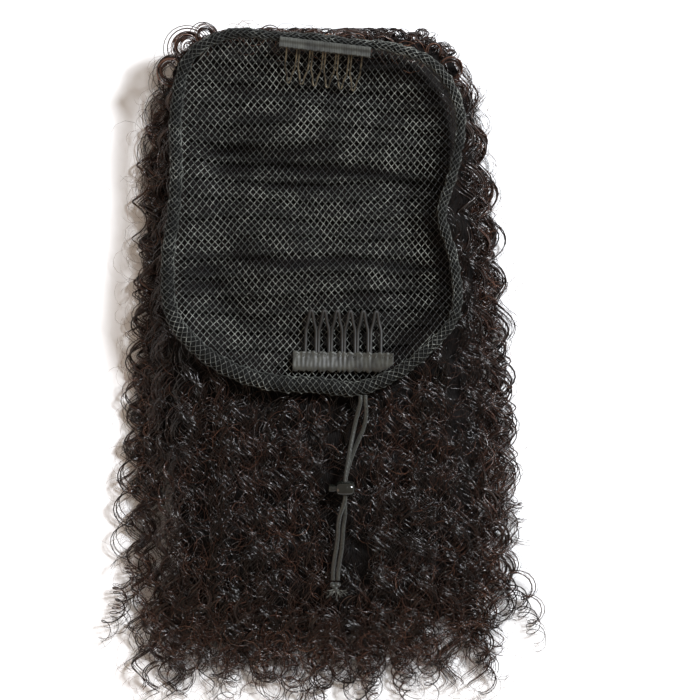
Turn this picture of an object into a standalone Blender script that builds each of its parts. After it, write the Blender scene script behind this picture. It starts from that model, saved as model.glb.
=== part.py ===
"""Drawstring ponytail hairpiece, lying on its hair with the cap open side up.

Metres, +Z up. The origin is on the surface that it lies on, under the middle of
the hair. +Y points to the front of the cap, and the hair hangs towards -Y.
"""
import math

import bmesh
import bpy
import numpy as np
from mathutils import Vector
from mathutils.bvhtree import BVHTree

# Clearance between pieces that touch
GAP = 0.0003

# Cap of net
CAP_WIDTH = 0.152
CAP_LENGTH = 0.183
CAP_CENTRE_X = -0.0005
CAP_CENTRE_Y = 0.0755
RIM_HEIGHT = 0.0385
BOWL_FLOOR = 0.0265
NET_WALL = 0.0012
NET_STRAND = 0.0042
NET_SQUARES_ACROSS = 7
NET_SQUARES_DOWN = 8
WALL_START = 0.72

# Rolled hem
CASING_WIDTH = 0.0066
CASING_FLATNESS = 0.78
CASING_POINTS = 48
EXIT_DEGREES = 284.5
POCKET_PLAY = 0.00033
HEM_CLEARANCE = 0.0011

# Wefts under the net
WEFT_WIDTH = 0.0042
WEFT_THICKNESS = 0.0011
WEFT_SLANT = 0.06
WEFT_STATIONS = 19
WEFT_REACH = 0.94
# Below the net, one for each weft from the nape to the front
WEFT_CLEARANCES = (0.0012, 0.0017, 0.0017, 0.0017, 0.0017, 0.0012)
HAIR_CLEARANCE = 0.0017

# Hair
MASS_WIDTH = 0.182
MASS_LENGTH = 0.312
MASS_TOP = 0.1655
MASS_THICKNESS = 0.031
MASS_COLUMNS = 10
MASS_ROWS = 18
EDGE_THICKNESS = 0.005
EDGE_ROUNDNESS = 7
RINGLET_THICKNESS = 0.0090
RINGLET_SIDES = 5
RINGLET_LIFT = 0.0004
TIP_THINNING = 0.62
STEPS_A_WAVE = 4.3
LEFT_WAVE = 0.019
RIGHT_WAVE = 0.024
TIP_WAVE = 0.020
TOP_WAVE = 0.034
SIDE_LOCKS = 5
SIDE_LOCK_LENGTH = 0.072
# Where the side locks leave the mass, as shares of MASS_LENGTH from its front end
FIRST_SIDE_LOCK = 0.07
SIDE_LOCK_SPREAD = 0.74
TIP_LOCKS = 8
TIP_LOCK_LENGTH = 0.058
TOP_LOCK_LENGTH = 0.105
LOOP_STEPS = 7

# Combs
COMB_TEETH = 6
TOOTH_PITCH = 0.0065
TOOTH_WIDTH = 0.0052
WIRE_DIAMETER = 0.0009
WIRE_SIDES = 5
TAPE_WALL = 0.0006
COMB_CLEARANCE = 0.0006
TAPE_CLEARANCE = 0.0006
TAPE_STATIONS = 13
TOOTH_LIFT = 0.0006

# Drawstring and its lock
CORD_DIAMETER = 0.0020
CORD_SIDES = 8
CORD_POINTS = 24
LOCK_WIDTH = 0.0098
LOCK_DEPTH = 0.0080
LOCK_HEIGHT = 0.0096
LOCK_SQUARENESS = 4.5
LOCK_X = 0.01415
LOCK_Y = -0.0610
LOCK_Z = 0.0342
BUTTON_DEPTH = 0.0042
BUTTON_HEIGHT = 0.0066
BUTTON_REACH = 0.0036
BUTTON_TRAVEL = 0.0018
BUTTON_WEB = 0.0007
BUTTON_SQUARENESS = 7.0
KNOT_DIAMETER = 0.0052

# The cap's outline, seen from inside. Each row: direction in degrees, reach as a
# share of the half width and half length, width of the hem as a share of
# CASING_WIDTH, and height of the hem as a share of RIM_HEIGHT.
OUTLINE = (
    # degrees, reach, hem, height
    (0, 0.857, 0.76, 1.00),
    (15, 0.972, 0.76, 1.02),
    (30, 1.124, 0.76, 1.05),
    (45, 1.150, 0.76, 1.07),
    (60, 1.067, 0.78, 1.06),
    (75, 0.984, 0.70, 1.03),
    (90, 0.982, 0.66, 1.01),
    (105, 1.026, 0.68, 1.00),
    (120, 1.159, 0.80, 1.00),
    (135, 1.220, 0.92, 1.00),
    (150, 1.104, 0.96, 0.99),
    (165, 0.987, 0.98, 0.98),
    (180, 0.976, 1.00, 0.97),
    (195, 1.051, 1.06, 0.97),
    (210, 1.135, 1.16, 0.97),
    (225, 1.104, 1.26, 0.95),
    (240, 1.049, 1.32, 0.92),
    (255, 1.000, 1.32, 0.90),
    (270, 0.974, 1.28, 0.89),
    (285, 1.025, 1.16, 0.90),
    (300, 1.049, 1.02, 0.94),
    (315, 1.070, 0.90, 0.98),
    (330, 1.092, 0.80, 1.01),
    (345, 0.968, 0.76, 1.00),
)

# Humps and hollows of the net where it lies on the hair. Each row: place across
# and along as shares of the cap's half width and half length, reach across and
# along as the same shares, and rise as a share of the bowl's depth.
NET_FOLDS = (
    # across, along, reach_across, reach_along, rise
    (0.05, 0.50, 0.70, 0.26, 0.30),
    (-0.05, -0.30, 0.75, 0.36, 0.46),
    (-0.55, 0.30, 0.30, 0.10, -0.26),
    (0.45, 0.16, 0.40, 0.09, -0.20),
    (0.04, -0.08, 0.14, 0.10, -0.24),
    (-0.60, -0.62, 0.20, 0.18, -0.34),
    (0.60, -0.45, 0.16, 0.30, -0.28),
)

# The mass of hair, from its front end to its tips. Each row: place along as a
# share of MASS_LENGTH, left and right edges as shares of half MASS_WIDTH, and
# thickness as a share of MASS_THICKNESS.
HAIR_SECTIONS = (
    # along, left, right, thickness
    (0.000, -0.46, 0.40, 0.34),
    (0.008, -0.62, 0.56, 0.66),
    (0.030, -0.76, 0.73, 1.00),
    (0.090, -0.84, 0.85, 1.14),
    (0.165, -0.87, 0.90, 1.20),
    (0.340, -0.90, 0.95, 1.22),
    (0.480, -0.93, 0.97, 1.16),
    (0.560, -0.95, 0.98, 1.02),
    (0.710, -0.98, 1.00, 0.96),
    (0.800, -0.98, 0.98, 0.88),
    (0.880, -0.93, 0.92, 0.74),
    (0.945, -0.84, 0.82, 0.50),
    (0.990, -0.72, 0.68, 0.30),
    (1.000, -0.60, 0.56, 0.22),
)

# Two strands of the drawstring, from the hem to the knot, points chosen by hand
LEFT_STRAND = (
    (0.02180, -0.01450, 0.03480),
    (0.02165, -0.01800, 0.03470),
    (0.02080, -0.02150, 0.03400),
    (0.01980, -0.02550, 0.03330),
    (0.01870, -0.03050, 0.03310),
    (0.01770, -0.03550, 0.03350),
    (0.01650, -0.04150, 0.03420),
    (0.01560, -0.04700, 0.03450),
    (0.01470, -0.05250, 0.03500),
    (0.01420, -0.05650, 0.03530),
    (0.01415, -0.06100, 0.03535),
    (0.01410, -0.06550, 0.03510),
    (0.01300, -0.07000, 0.03400),
    (0.01130, -0.07500, 0.03230),
    (0.01060, -0.08000, 0.03000),
    (0.01030, -0.08600, 0.02830),
    (0.00950, -0.09200, 0.02740),
    (0.00850, -0.09800, 0.02640),
    (0.00800, -0.10300, 0.02580),
    (0.00790, -0.10750, 0.02540),
)
RIGHT_STRAND = (
    (0.02420, -0.01450, 0.03480),
    (0.02430, -0.01850, 0.03460),
    (0.02460, -0.02250, 0.03380),
    (0.02420, -0.02700, 0.03290),
    (0.02290, -0.03200, 0.03220),
    (0.02090, -0.03650, 0.03200),
    (0.01880, -0.04150, 0.03180),
    (0.01680, -0.04700, 0.03190),
    (0.01510, -0.05250, 0.03250),
    (0.01430, -0.05650, 0.03300),
    (0.01415, -0.06100, 0.03305),
    (0.01400, -0.06550, 0.03270),
    (0.01400, -0.07000, 0.03140),
    (0.01390, -0.07500, 0.03000),
    (0.01320, -0.08000, 0.02900),
    (0.01280, -0.08600, 0.02810),
    (0.01230, -0.09200, 0.02730),
    (0.01130, -0.09800, 0.02630),
    (0.01060, -0.10300, 0.02575),
    (0.01040, -0.10750, 0.02540),
)


# Start with nothing in the scene

for old in list(bpy.data.objects):
    bpy.data.objects.remove(old, do_unlink=True)

PARTS = bpy.data.collections.new("ponytail_hairpiece")
CUTTERS = bpy.data.collections.new("cutters")
bpy.context.scene.collection.children.link(PARTS)
bpy.context.scene.collection.children.link(CUTTERS)


# Materials

def material(name, colour, roughness, metallic=0.0):
    made = bpy.data.materials.new(name)
    made.use_nodes = True
    shader = made.node_tree.nodes["Principled BSDF"]
    shader.inputs["Base Color"].default_value = (*colour, 1.0)
    shader.inputs["Roughness"].default_value = roughness
    shader.inputs["Metallic"].default_value = metallic
    made.diffuse_color = (*colour, 1.0)
    return made


# Helpers for making objects

def part(name, mesh, finish, sharp_degrees=40):
    mesh.materials.clear()
    mesh.materials.append(finish)
    made = bpy.data.objects.new(name, mesh)
    PARTS.objects.link(made)
    mesh.shade_smooth()
    mesh.set_sharp_from_angle(angle=math.radians(sharp_degrees))
    return made


def cutter(name, mesh):
    made = bpy.data.objects.new(name, mesh)
    CUTTERS.objects.link(made)
    made.hide_render = True
    made.display_type = "WIRE"
    return made


def mesh_from(shape, name):
    mesh = bpy.data.meshes.new(name)
    shape.to_mesh(mesh)
    shape.free()
    return mesh


def face_outward(shape):
    bmesh.ops.recalc_face_normals(shape, faces=shape.faces[:])
    if shape.calc_volume(signed=True) < 0:
        bmesh.ops.reverse_faces(shape, faces=shape.faces[:])


def boolean(target, tool, operation):
    step = target.modifiers.new(tool.name, "BOOLEAN")
    step.operation = operation
    step.solver = "EXACT"
    step.object = tool


def oval_guide(name, width, sides, flatness):
    """A closed outline that a tube takes as its section."""
    curve = bpy.data.curves.new(name, "CURVE")
    curve.dimensions = "2D"
    spline = curve.splines.new("POLY")
    spline.points.add(sides - 1)
    spline.use_cyclic_u = True
    for side, point in enumerate(spline.points):
        turn = 2 * math.pi * (side + 0.5) / sides
        point.co = (width / 2 * math.cos(turn), width / 2 * flatness * math.sin(turn), 0, 1)
    made = bpy.data.objects.new(name, curve)
    CUTTERS.objects.link(made)
    return made


def spline_mesh(name, runs, diameter, sides, flatness=1.0, cyclic=False):
    """Tubes along runs of (x, y, z, width share) points, as one mesh."""
    section = oval_guide(name + "_section", diameter, sides, flatness)
    curve = bpy.data.curves.new(name, "CURVE")
    curve.dimensions = "3D"
    curve.use_fill_caps = not cyclic
    curve.bevel_mode = "OBJECT"
    curve.bevel_object = section
    curve.twist_mode = "Z_UP"
    for run in runs:
        spline = curve.splines.new("POLY")
        spline.points.add(len(run) - 1)
        spline.use_cyclic_u = cyclic
        for point, (x, y, z, share) in zip(spline.points, run):
            point.co = (x, y, z, 1.0)
            point.radius = share
    guide = bpy.data.objects.new(name + "_curve", curve)
    CUTTERS.objects.link(guide)
    bpy.context.view_layer.update()
    evaluated = guide.evaluated_get(bpy.context.evaluated_depsgraph_get())
    mesh = bpy.data.meshes.new_from_object(evaluated)
    bpy.data.objects.remove(guide, do_unlink=True)
    bpy.data.objects.remove(section, do_unlink=True)
    shape = bmesh.new()
    shape.from_mesh(mesh)
    bmesh.ops.remove_doubles(shape, verts=shape.verts[:], dist=0.00001)
    face_outward(shape)
    shape.to_mesh(mesh)
    shape.free()
    return mesh


def smooth_curve(points, count):
    """Evenly spaced points on a smooth curve through hand-placed ones."""
    known = np.array(points)
    known = np.vstack((2 * known[0] - known[1], known, 2 * known[-1] - known[-2]))
    dense = []
    for before, start, end, after in zip(known, known[1:], known[2:], known[3:]):
        for t in np.linspace(0.0, 1.0, 12, endpoint=False):
            dense.append(0.5 * (2 * start + (end - before) * t
                                + (2 * before - 5 * start + 4 * end - after) * t ** 2
                                + (3 * start - before - 3 * end + after) * t ** 3))
    dense.append(known[-2])
    dense = np.array(dense)
    steps = np.linalg.norm(np.diff(dense, axis=0), axis=1)
    along = np.concatenate(([0.0], np.cumsum(steps)))
    wanted = np.linspace(0.0, along[-1], count)
    return np.stack([np.interp(wanted, along, dense[:, axis]) for axis in range(3)], axis=1)


# The cap's outline

def outline_value(degrees, column):
    """A column of OUTLINE at any direction, on a smooth closed curve."""
    spacing = 360 / len(OUTLINE)
    place = (degrees % 360) / spacing
    row = int(place)
    t = place - row
    a, b, c, d = (OUTLINE[(row + step) % len(OUTLINE)][column] for step in (-1, 0, 1, 2))
    return 0.5 * (2 * b + (c - a) * t + (2 * a - 5 * b + 4 * c - d) * t ** 2
                  + (3 * b - a - 3 * c + d) * t ** 3)


def outer_edge(degrees):
    reach = outline_value(degrees, 1)
    turn = math.radians(degrees)
    return np.array((CAP_WIDTH / 2 * reach * math.cos(turn), CAP_LENGTH / 2 * reach * math.sin(turn)))


def outward(degrees):
    along = outer_edge(degrees + 1.0) - outer_edge(degrees - 1.0)
    across = np.array((along[1], -along[0]))
    return across / np.linalg.norm(across)


def hem_width(degrees):
    return CASING_WIDTH * outline_value(degrees, 2)


def hem_height(degrees):
    return RIM_HEIGHT * outline_value(degrees, 3)


def hem_middle(degrees):
    x, y = outer_edge(degrees) - outward(degrees) * hem_width(degrees) / 2
    return CAP_CENTRE_X + x, CAP_CENTRE_Y + y, hem_height(degrees)


def net_edge(degrees, inset=HEM_CLEARANCE):
    x, y = outer_edge(degrees) - outward(degrees) * (hem_width(degrees) + inset)
    return CAP_CENTRE_X + x, CAP_CENTRE_Y + y


# The net as a sheet: a grid is poked into diamonds, each diamond is inset to
# leave its strands, and the sheet is curved to the cap's hollow.

OPENING = 1


def bowl_height(x, y, share, degrees):
    depth = RIM_HEIGHT - BOWL_FLOOR
    rise = min(max((share - WALL_START) / (1 - WALL_START), 0.0), 1.0)
    rise = rise ** 1.3
    across = (x - CAP_CENTRE_X) / (CAP_WIDTH / 2)
    along = (y - CAP_CENTRE_Y) / (CAP_LENGTH / 2)
    folds = 0.0
    for fold_x, fold_y, reach_x, reach_y, height in NET_FOLDS:
        folds += height * math.exp(-((across - fold_x) / reach_x) ** 2 - ((along - fold_y) / reach_y) ** 2)
    low = BOWL_FLOOR + depth * folds
    return low + (hem_height(degrees) - low) * rise


def net_sheet(with_strands=True):
    sheet = bmesh.new()
    bmesh.ops.create_grid(sheet, x_segments=NET_SQUARES_ACROSS, y_segments=NET_SQUARES_DOWN, size=1.0)
    squares = [edge for edge in sheet.edges if len(edge.link_faces) == 2]
    bmesh.ops.poke(sheet, faces=sheet.faces[:])
    bmesh.ops.dissolve_edges(sheet, edges=squares, use_verts=False)
    diamonds = [face for face in sheet.faces if len(face.verts) == 4]
    if with_strands:
        bmesh.ops.inset_individual(sheet, faces=diamonds, thickness=NET_STRAND / CAP_WIDTH,
                                   use_even_offset=True)
        for face in diamonds:
            face.material_index = OPENING
    for vert in sheet.verts:
        # A square rounded to a disc, which keeps its inner lines smooth
        across = vert.co.x * math.sqrt(1 - vert.co.y ** 2 / 2)
        along = vert.co.y * math.sqrt(1 - vert.co.x ** 2 / 2)
        share = math.hypot(across, along)
        degrees = math.degrees(math.atan2(along, across)) % 360
        edge_x, edge_y = net_edge(degrees)
        vert.co.x = CAP_CENTRE_X + (edge_x - CAP_CENTRE_X) * share
        vert.co.y = CAP_CENTRE_Y + (edge_y - CAP_CENTRE_Y) * share
        vert.co.z = bowl_height(vert.co.x, vert.co.y, share, degrees)
    bmesh.ops.triangulate(sheet, faces=sheet.faces[:])
    bmesh.ops.recalc_face_normals(sheet, faces=sheet.faces[:])
    if sum(face.normal.z for face in sheet.faces) < 0:
        bmesh.ops.reverse_faces(sheet, faces=sheet.faces[:])
    sheet.normal_update()
    return sheet


def lower(sheet, depth):
    """Moves a sheet down square to itself."""
    moves = [(vert, vert.normal * (depth * vert.calc_shell_factor())) for vert in sheet.verts]
    for vert, move in moves:
        vert.co -= move
    sheet.normal_update()


def solidify(target, thickness):
    wall = target.modifiers.new("wall", "SOLIDIFY")
    wall.thickness = thickness
    wall.offset = -1.0
    wall.use_even_offset = True


# Cap net

NET_FINISH = material("black_net", (0.030, 0.030, 0.029), 0.8)
pierced = net_sheet()
bmesh.ops.delete(pierced, geom=[face for face in pierced.faces if face.material_index == OPENING],
                 context="FACES_ONLY")
loose = [edge for edge in pierced.edges if not edge.link_faces]
bmesh.ops.delete(pierced, geom=loose, context="EDGES")
for face in pierced.faces:
    face.material_index = 0
cap_net = part("cap_net", mesh_from(pierced, "cap_net"), NET_FINISH)
solidify(cap_net, NET_WALL)

# What rests on the net finds its height here
whole_net = net_sheet()
NET_TREE = BVHTree.FromBMesh(whole_net)
whole_net.free()


def on_net(x, y, lift):
    """A point that stands off the net, also just past its edge, by a lift square to it."""
    hit, normal, _, _ = NET_TREE.ray_cast(Vector((x, y, 1.0)), Vector((0, 0, -1)))
    if hit is None:
        near, normal, _, _ = NET_TREE.find_nearest(Vector((x, y, RIM_HEIGHT)))
        fall = (normal.x * (x - near.x) + normal.y * (y - near.y)) / normal.z
        hit = Vector((x, y, near.z - fall))
    return hit + normal * lift


# Rolled hem, a flattened tube all round, with a pocket where the drawstring leaves

turns = [360 * step / CASING_POINTS for step in range(CASING_POINTS)]
ring = [(*hem_middle(degrees), outline_value(degrees, 2)) for degrees in turns]
casing_mesh = spline_mesh("rim_casing", [ring], CASING_WIDTH, 8, flatness=CASING_FLATNESS, cyclic=True)
rim_casing = part("rim_casing", casing_mesh, NET_FINISH)

pocket = bmesh.new()
bmesh.ops.create_cube(pocket, size=1.0)
pocket_width = RIGHT_STRAND[0][0] - LEFT_STRAND[0][0] + CORD_DIAMETER + 2 * POCKET_PLAY
pocket_height = CORD_DIAMETER + 2 * GAP
pocket_depth = hem_width(EXIT_DEGREES)
strand_x = (LEFT_STRAND[0][0] + RIGHT_STRAND[0][0]) / 2
for vert in pocket.verts:
    vert.co.x = strand_x + vert.co.x * pocket_width
    vert.co.y = LEFT_STRAND[0][1] + GAP - (0.5 - vert.co.y) * pocket_depth
    vert.co.z = LEFT_STRAND[0][2] + vert.co.z * pocket_height
boolean(rim_casing, cutter("exit_pocket", mesh_from(pocket, "exit_pocket")), "DIFFERENCE")

# Wefts: bands that follow the net's underside from side to side

WEFT_FINISH = material("weft_thread", (0.014, 0.011, 0.010), 0.75)


def direction(x, y):
    """The direction from the cap's middle, as the outline counts it."""
    return math.degrees(math.atan2((y - CAP_CENTRE_Y) / CAP_LENGTH, (x - CAP_CENTRE_X) / CAP_WIDTH)) % 360


def net_share(x, y):
    """How far out a place is, from 0 at the cap's middle to 1 at the net's edge."""
    edge_x, edge_y = net_edge(direction(x, y))
    whole = math.hypot(edge_x - CAP_CENTRE_X, edge_y - CAP_CENTRE_Y)
    return math.hypot(x - CAP_CENTRE_X, y - CAP_CENTRE_Y) / whole


def weft_span(y):
    """The places on both sides where a line across the cap meets the weft's ends."""
    found = []
    for side in (-1, 1):
        x = CAP_CENTRE_X
        while net_share(x, y) < WEFT_REACH:
            x += side * 0.0005
        found.append(x)
    return found


def weft_row(row):
    place = (row + 0.5) / len(WEFT_CLEARANCES) * 1.7 - 0.85
    middle_y = CAP_CENTRE_Y + place * CAP_LENGTH / 2
    left, right = weft_span(middle_y)
    slant = WEFT_SLANT * (1 - 2 * abs(place))
    band = bmesh.new()
    rows = []
    for station in range(WEFT_STATIONS):
        x = left + (right - left) * (0.5 - 0.5 * math.cos(math.pi * station / (WEFT_STATIONS - 1)))
        y = middle_y - slant * (x - CAP_CENTRE_X)
        rows.append([band.verts.new(on_net(x, y + side * WEFT_WIDTH / 2, -NET_WALL - WEFT_CLEARANCES[row]))
                     for side in (-1, 1)])
    for near, far in zip(rows, rows[1:]):
        band.faces.new((near[0], far[0], far[1], near[1]))
    band.normal_update()
    return mesh_from(band, f"weft_row_{row + 1}")


for row in range(len(WEFT_CLEARANCES)):
    weft = part(f"weft_row_{row + 1}", weft_row(row), WEFT_FINISH)
    solidify(weft, WEFT_THICKNESS)


# Hair: a backing with the main form, and locks joined to it

HAIR_FINISH = material("natural_black_hair", (0.012, 0.008, 0.007), 0.45)
MASS_MIDDLE_Y = MASS_TOP - MASS_LENGTH / 2


def section(y, column):
    along = (MASS_TOP - y) / MASS_LENGTH
    places = [row[0] for row in HAIR_SECTIONS]
    return float(np.interp(along, places, [row[column] for row in HAIR_SECTIONS]))


def side_edge(side, y):
    return section(y, 1 if side < 0 else 2) * MASS_WIDTH / 2


def mass_height(across, y):
    full = MASS_THICKNESS * section(y, 3)
    return EDGE_THICKNESS + (full - EDGE_THICKNESS) * (1 - abs(across) ** EDGE_ROUNDNESS)


mass = bmesh.new()
bmesh.ops.create_grid(mass, x_segments=MASS_COLUMNS, y_segments=MASS_ROWS, size=1.0)
for vert in mass.verts:
    across = math.sin(vert.co.x * math.pi / 2)
    y = MASS_MIDDLE_Y + math.sin(vert.co.y * math.pi / 2) * MASS_LENGTH / 2
    middle = (side_edge(1, y) + side_edge(-1, y)) / 2
    half = (side_edge(1, y) - side_edge(-1, y)) / 2
    vert.co = (middle + across * half, y, mass_height(across, y))
rim = [edge for edge in mass.edges if edge.is_boundary]
skirt = bmesh.ops.extrude_edge_only(mass, edges=rim)["geom"]
for vert in (item for item in skirt if isinstance(item, bmesh.types.BMVert)):
    vert.co.z = 0.0
bmesh.ops.holes_fill(mass, edges=[edge for edge in mass.edges if edge.is_boundary], sides=0)
face_outward(mass)
hair = part("hair", mesh_from(mass, "hair"), HAIR_FINISH, 60)


def wavy_lock(path, swing, lift, wave, phase):
    """A lock that winds round its path as a loose spiral and thins towards its tip."""
    length = sum((Vector(far) - Vector(near)).length for near, far in zip(path, path[1:]))
    steps = round(length / wave * STEPS_A_WAVE) + 1
    points = smooth_curve(path, steps)
    run = []
    for index, (x, y, z) in enumerate(points):
        ahead = points[min(index + 1, steps - 1)] - points[max(index - 1, 0)]
        side = Vector((ahead[1], -ahead[0])).normalized()
        part_along = index / (steps - 1)
        turn = 2 * math.pi * length * part_along / wave + phase
        share = 1.0 - TIP_THINNING * part_along ** 1.5
        grow = min(1.0, 0.3 + 2.2 * part_along)
        height = max(z + lift * math.cos(turn), RINGLET_THICKNESS / 2 * share + RINGLET_LIFT)
        run.append((x + side.x * swing * grow * math.sin(turn), y + side.y * swing * grow * math.sin(turn),
                    height, share))
    return run


# Paths of the locks. Each row: place out from the mass's edge as a share of
# MASS_WIDTH, and height as a share of MASS_THICKNESS.
SIDE_LOCK_PATH = (
    # out, height
    (-0.055, 0.66),
    (-0.012, 0.58),
    (0.014, 0.42),
    (0.030, 0.30),
    (0.036, 0.20),
)
TIP_LOCK_HEIGHTS = (0.36, 0.36, 0.26, 0.18)


def side_lock(side, number):
    """A lock that leaves the mass beside the cap or below it and runs down its edge."""
    first = MASS_TOP - MASS_LENGTH * (FIRST_SIDE_LOCK + SIDE_LOCK_SPREAD * number / (SIDE_LOCKS - 1))
    path = []
    for step, (out, height) in enumerate(SIDE_LOCK_PATH):
        y = first - SIDE_LOCK_LENGTH * step / (len(SIDE_LOCK_PATH) - 1)
        path.append((side_edge(side, y) + side * out * MASS_WIDTH, y, MASS_THICKNESS * height))
    wave = LEFT_WAVE if side < 0 else RIGHT_WAVE
    return wavy_lock(path, wave * 0.22, wave * 0.14, wave, number * 2.1 + side)


def tip_lock(number):
    """A ringlet that leaves the tips of the mass and spreads out on the surface."""
    place = number / (TIP_LOCKS - 1) * 2 - 1
    start_y = MASS_TOP - MASS_LENGTH * (0.90 - 0.07 * place ** 2)
    start_x = place * MASS_WIDTH * 0.40
    reach = TIP_LOCK_LENGTH * (1.0 - 0.12 * place ** 2 - 0.06 * (number % 2))
    path = []
    for step, height in enumerate(TIP_LOCK_HEIGHTS):
        along = reach * step / (len(TIP_LOCK_HEIGHTS) - 1)
        path.append((start_x + 0.18 * place * along, start_y - along, MASS_THICKNESS * height))
    return wavy_lock(path, TIP_WAVE * 0.21, TIP_WAVE * 0.14, TIP_WAVE, number * 1.9)


# Places of the ridges across the hair, as shares of its half width, that leave
# the drawstring its own hollow
TOP_LANES = (-0.80, -0.54, -0.27, 0.42, 0.72)


def top_lock(number):
    """A ridge of hair that runs down from under the cap, beside the drawstring."""
    place = TOP_LANES[number]
    start_y = CAP_CENTRE_Y - CAP_LENGTH * (0.40 + 0.05 * (number % 3))
    path = []
    for step in range(5):
        y = start_y - TOP_LOCK_LENGTH * step / 4
        x = place * side_edge(1, y) * (1 - 0.02 * step)
        path.append((x, y, mass_height(place, y) - RINGLET_THICKNESS * (0.16 - 0.02 * step)))
    return wavy_lock(path, TOP_WAVE * 0.12, TOP_WAVE * 0.03, TOP_WAVE, number * 1.3)


# Loops of hair that stand out past the front of the cap. Each row: middle of the
# loop across and along as shares of half MASS_WIDTH and half MASS_LENGTH from the
# mass's middle, first and last direction in degrees, radius as a share of
# MASS_THICKNESS and height as the same share.
FRONT_LOOPS = (
    # across, along, first, last, radius, height
    (-0.68, 0.91, -60, 80, 0.33, 0.92),
    (-0.48, 0.95, -20, 130, 0.28, 0.80),
    (-0.04, 0.97, 20, 165, 0.36, 0.66),
    (0.66, 0.88, 200, 440, 0.30, 0.80),
)


def front_loop(across, along, first, last, radius, height):
    run = []
    for step in range(LOOP_STEPS):
        turn = math.radians(first + (last - first) * step / (LOOP_STEPS - 1))
        run.append((across * MASS_WIDTH / 2 + radius * MASS_THICKNESS * math.cos(turn),
                    MASS_MIDDLE_Y + along * MASS_LENGTH / 2 + radius * MASS_THICKNESS * math.sin(turn),
                    height * MASS_THICKNESS * (1 - 0.05 * step), 0.72 - 0.04 * step))
    return run


locks = [side_lock(side, number) for side in (-1, 1) for number in range(SIDE_LOCKS)]
locks += [tip_lock(number) for number in range(TIP_LOCKS)]
locks += [top_lock(number) for number in range(len(TOP_LANES))]
locks += [front_loop(*row) for row in FRONT_LOOPS]
for number, run in enumerate(locks):
    name = f"lock_{number + 1}"
    boolean(hair, cutter(name, spline_mesh(name, [run], RINGLET_THICKNESS, RINGLET_SIDES)), "UNION")


def cap_clearance():
    """Everything from just under the wefts and the hem upwards, taken out of the hair."""
    sheet = net_sheet(with_strands=False)
    rim = {vert for edge in sheet.edges if edge.is_boundary for vert in edge.verts}
    lower(sheet, NET_WALL + max(WEFT_CLEARANCES) + WEFT_THICKNESS + HAIR_CLEARANCE)
    drop = CASING_WIDTH / 2 * CASING_FLATNESS + 2 * GAP
    for vert in rim:
        degrees = direction(vert.co.x, vert.co.y)
        vert.co.z = min(vert.co.z, hem_height(degrees) - drop * outline_value(degrees, 2))
    border = [edge for edge in sheet.edges if edge.is_boundary]
    grown = bmesh.ops.extrude_edge_only(sheet, edges=border)["geom"]
    for vert in (item for item in grown if isinstance(item, bmesh.types.BMVert)):
        degrees = direction(vert.co.x, vert.co.y)
        x, y = net_edge(degrees, -hem_width(degrees) - 5 * GAP)
        vert.co.x, vert.co.y = x, y
    border = [edge for edge in sheet.edges if edge.is_boundary]
    walls = bmesh.ops.extrude_edge_only(sheet, edges=border)["geom"]
    for vert in (item for item in walls if isinstance(item, bmesh.types.BMVert)):
        vert.co.z = RIM_HEIGHT * 2
    bmesh.ops.holes_fill(sheet, edges=[edge for edge in sheet.edges if edge.is_boundary], sides=0)
    face_outward(sheet)
    return cutter("cap_clearance", mesh_from(sheet, "cap_clearance"))


boolean(hair, cap_clearance(), "DIFFERENCE")


def keep_main_body(target):
    """Applies the cuts and drops the crumbs that they leave beside the main body."""
    bpy.context.view_layer.update()
    evaluated = target.evaluated_get(bpy.context.evaluated_depsgraph_get())
    mesh = bpy.data.meshes.new_from_object(evaluated)
    target.modifiers.clear()
    shape = bmesh.new()
    shape.from_mesh(mesh)
    bmesh.ops.dissolve_degenerate(shape, edges=shape.edges[:], dist=0.00001)
    unseen = set(shape.verts)
    bodies = []
    while unseen:
        reached = [unseen.pop()]
        body = set(reached)
        while reached:
            for edge in reached.pop().link_edges:
                for vert in edge.verts:
                    if vert in unseen:
                        unseen.discard(vert)
                        body.add(vert)
                        reached.append(vert)
        bodies.append(body)
    main = max(bodies, key=len)
    bmesh.ops.delete(shape, geom=[vert for vert in shape.verts if vert not in main], context="VERTS")
    shape.to_mesh(mesh)
    shape.free()
    target.data = mesh


keep_main_body(hair)


# Combs: one wire bent into teeth, held in a folded tape

WIRE_FINISH = material("brown_wire", (0.22, 0.19, 0.16), 0.35, 1.0)
TAPE_FINISH = material("black_tape", (0.035, 0.036, 0.034), 0.7)


def comb_path(place, tilt_degrees, tooth_length, tip_side):
    """The wire's points as (across, down) from the tape's middle, along the teeth."""
    half = TOOTH_WIDTH / 2
    flat = []
    for tooth in range(COMB_TEETH):
        middle = (tooth - (COMB_TEETH - 1) / 2) * TOOTH_PITCH
        for side, down in ((-1, 0.0), (-0.98, 0.35), (-0.88, 0.68), (-0.36, 0.94),
                           (0.36, 0.94), (0.88, 0.68), (0.98, 0.35), (1, 0.0)):
            flat.append((middle + side * half, down))
    tilt = math.radians(tilt_degrees)
    points = []
    for across, down in flat:
        reach = down * tooth_length * tip_side
        x = place[0] + across * math.cos(tilt) - reach * math.sin(tilt)
        y = place[1] + across * math.sin(tilt) + reach * math.cos(tilt)
        points.append((x, y, down))
    return points


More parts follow.
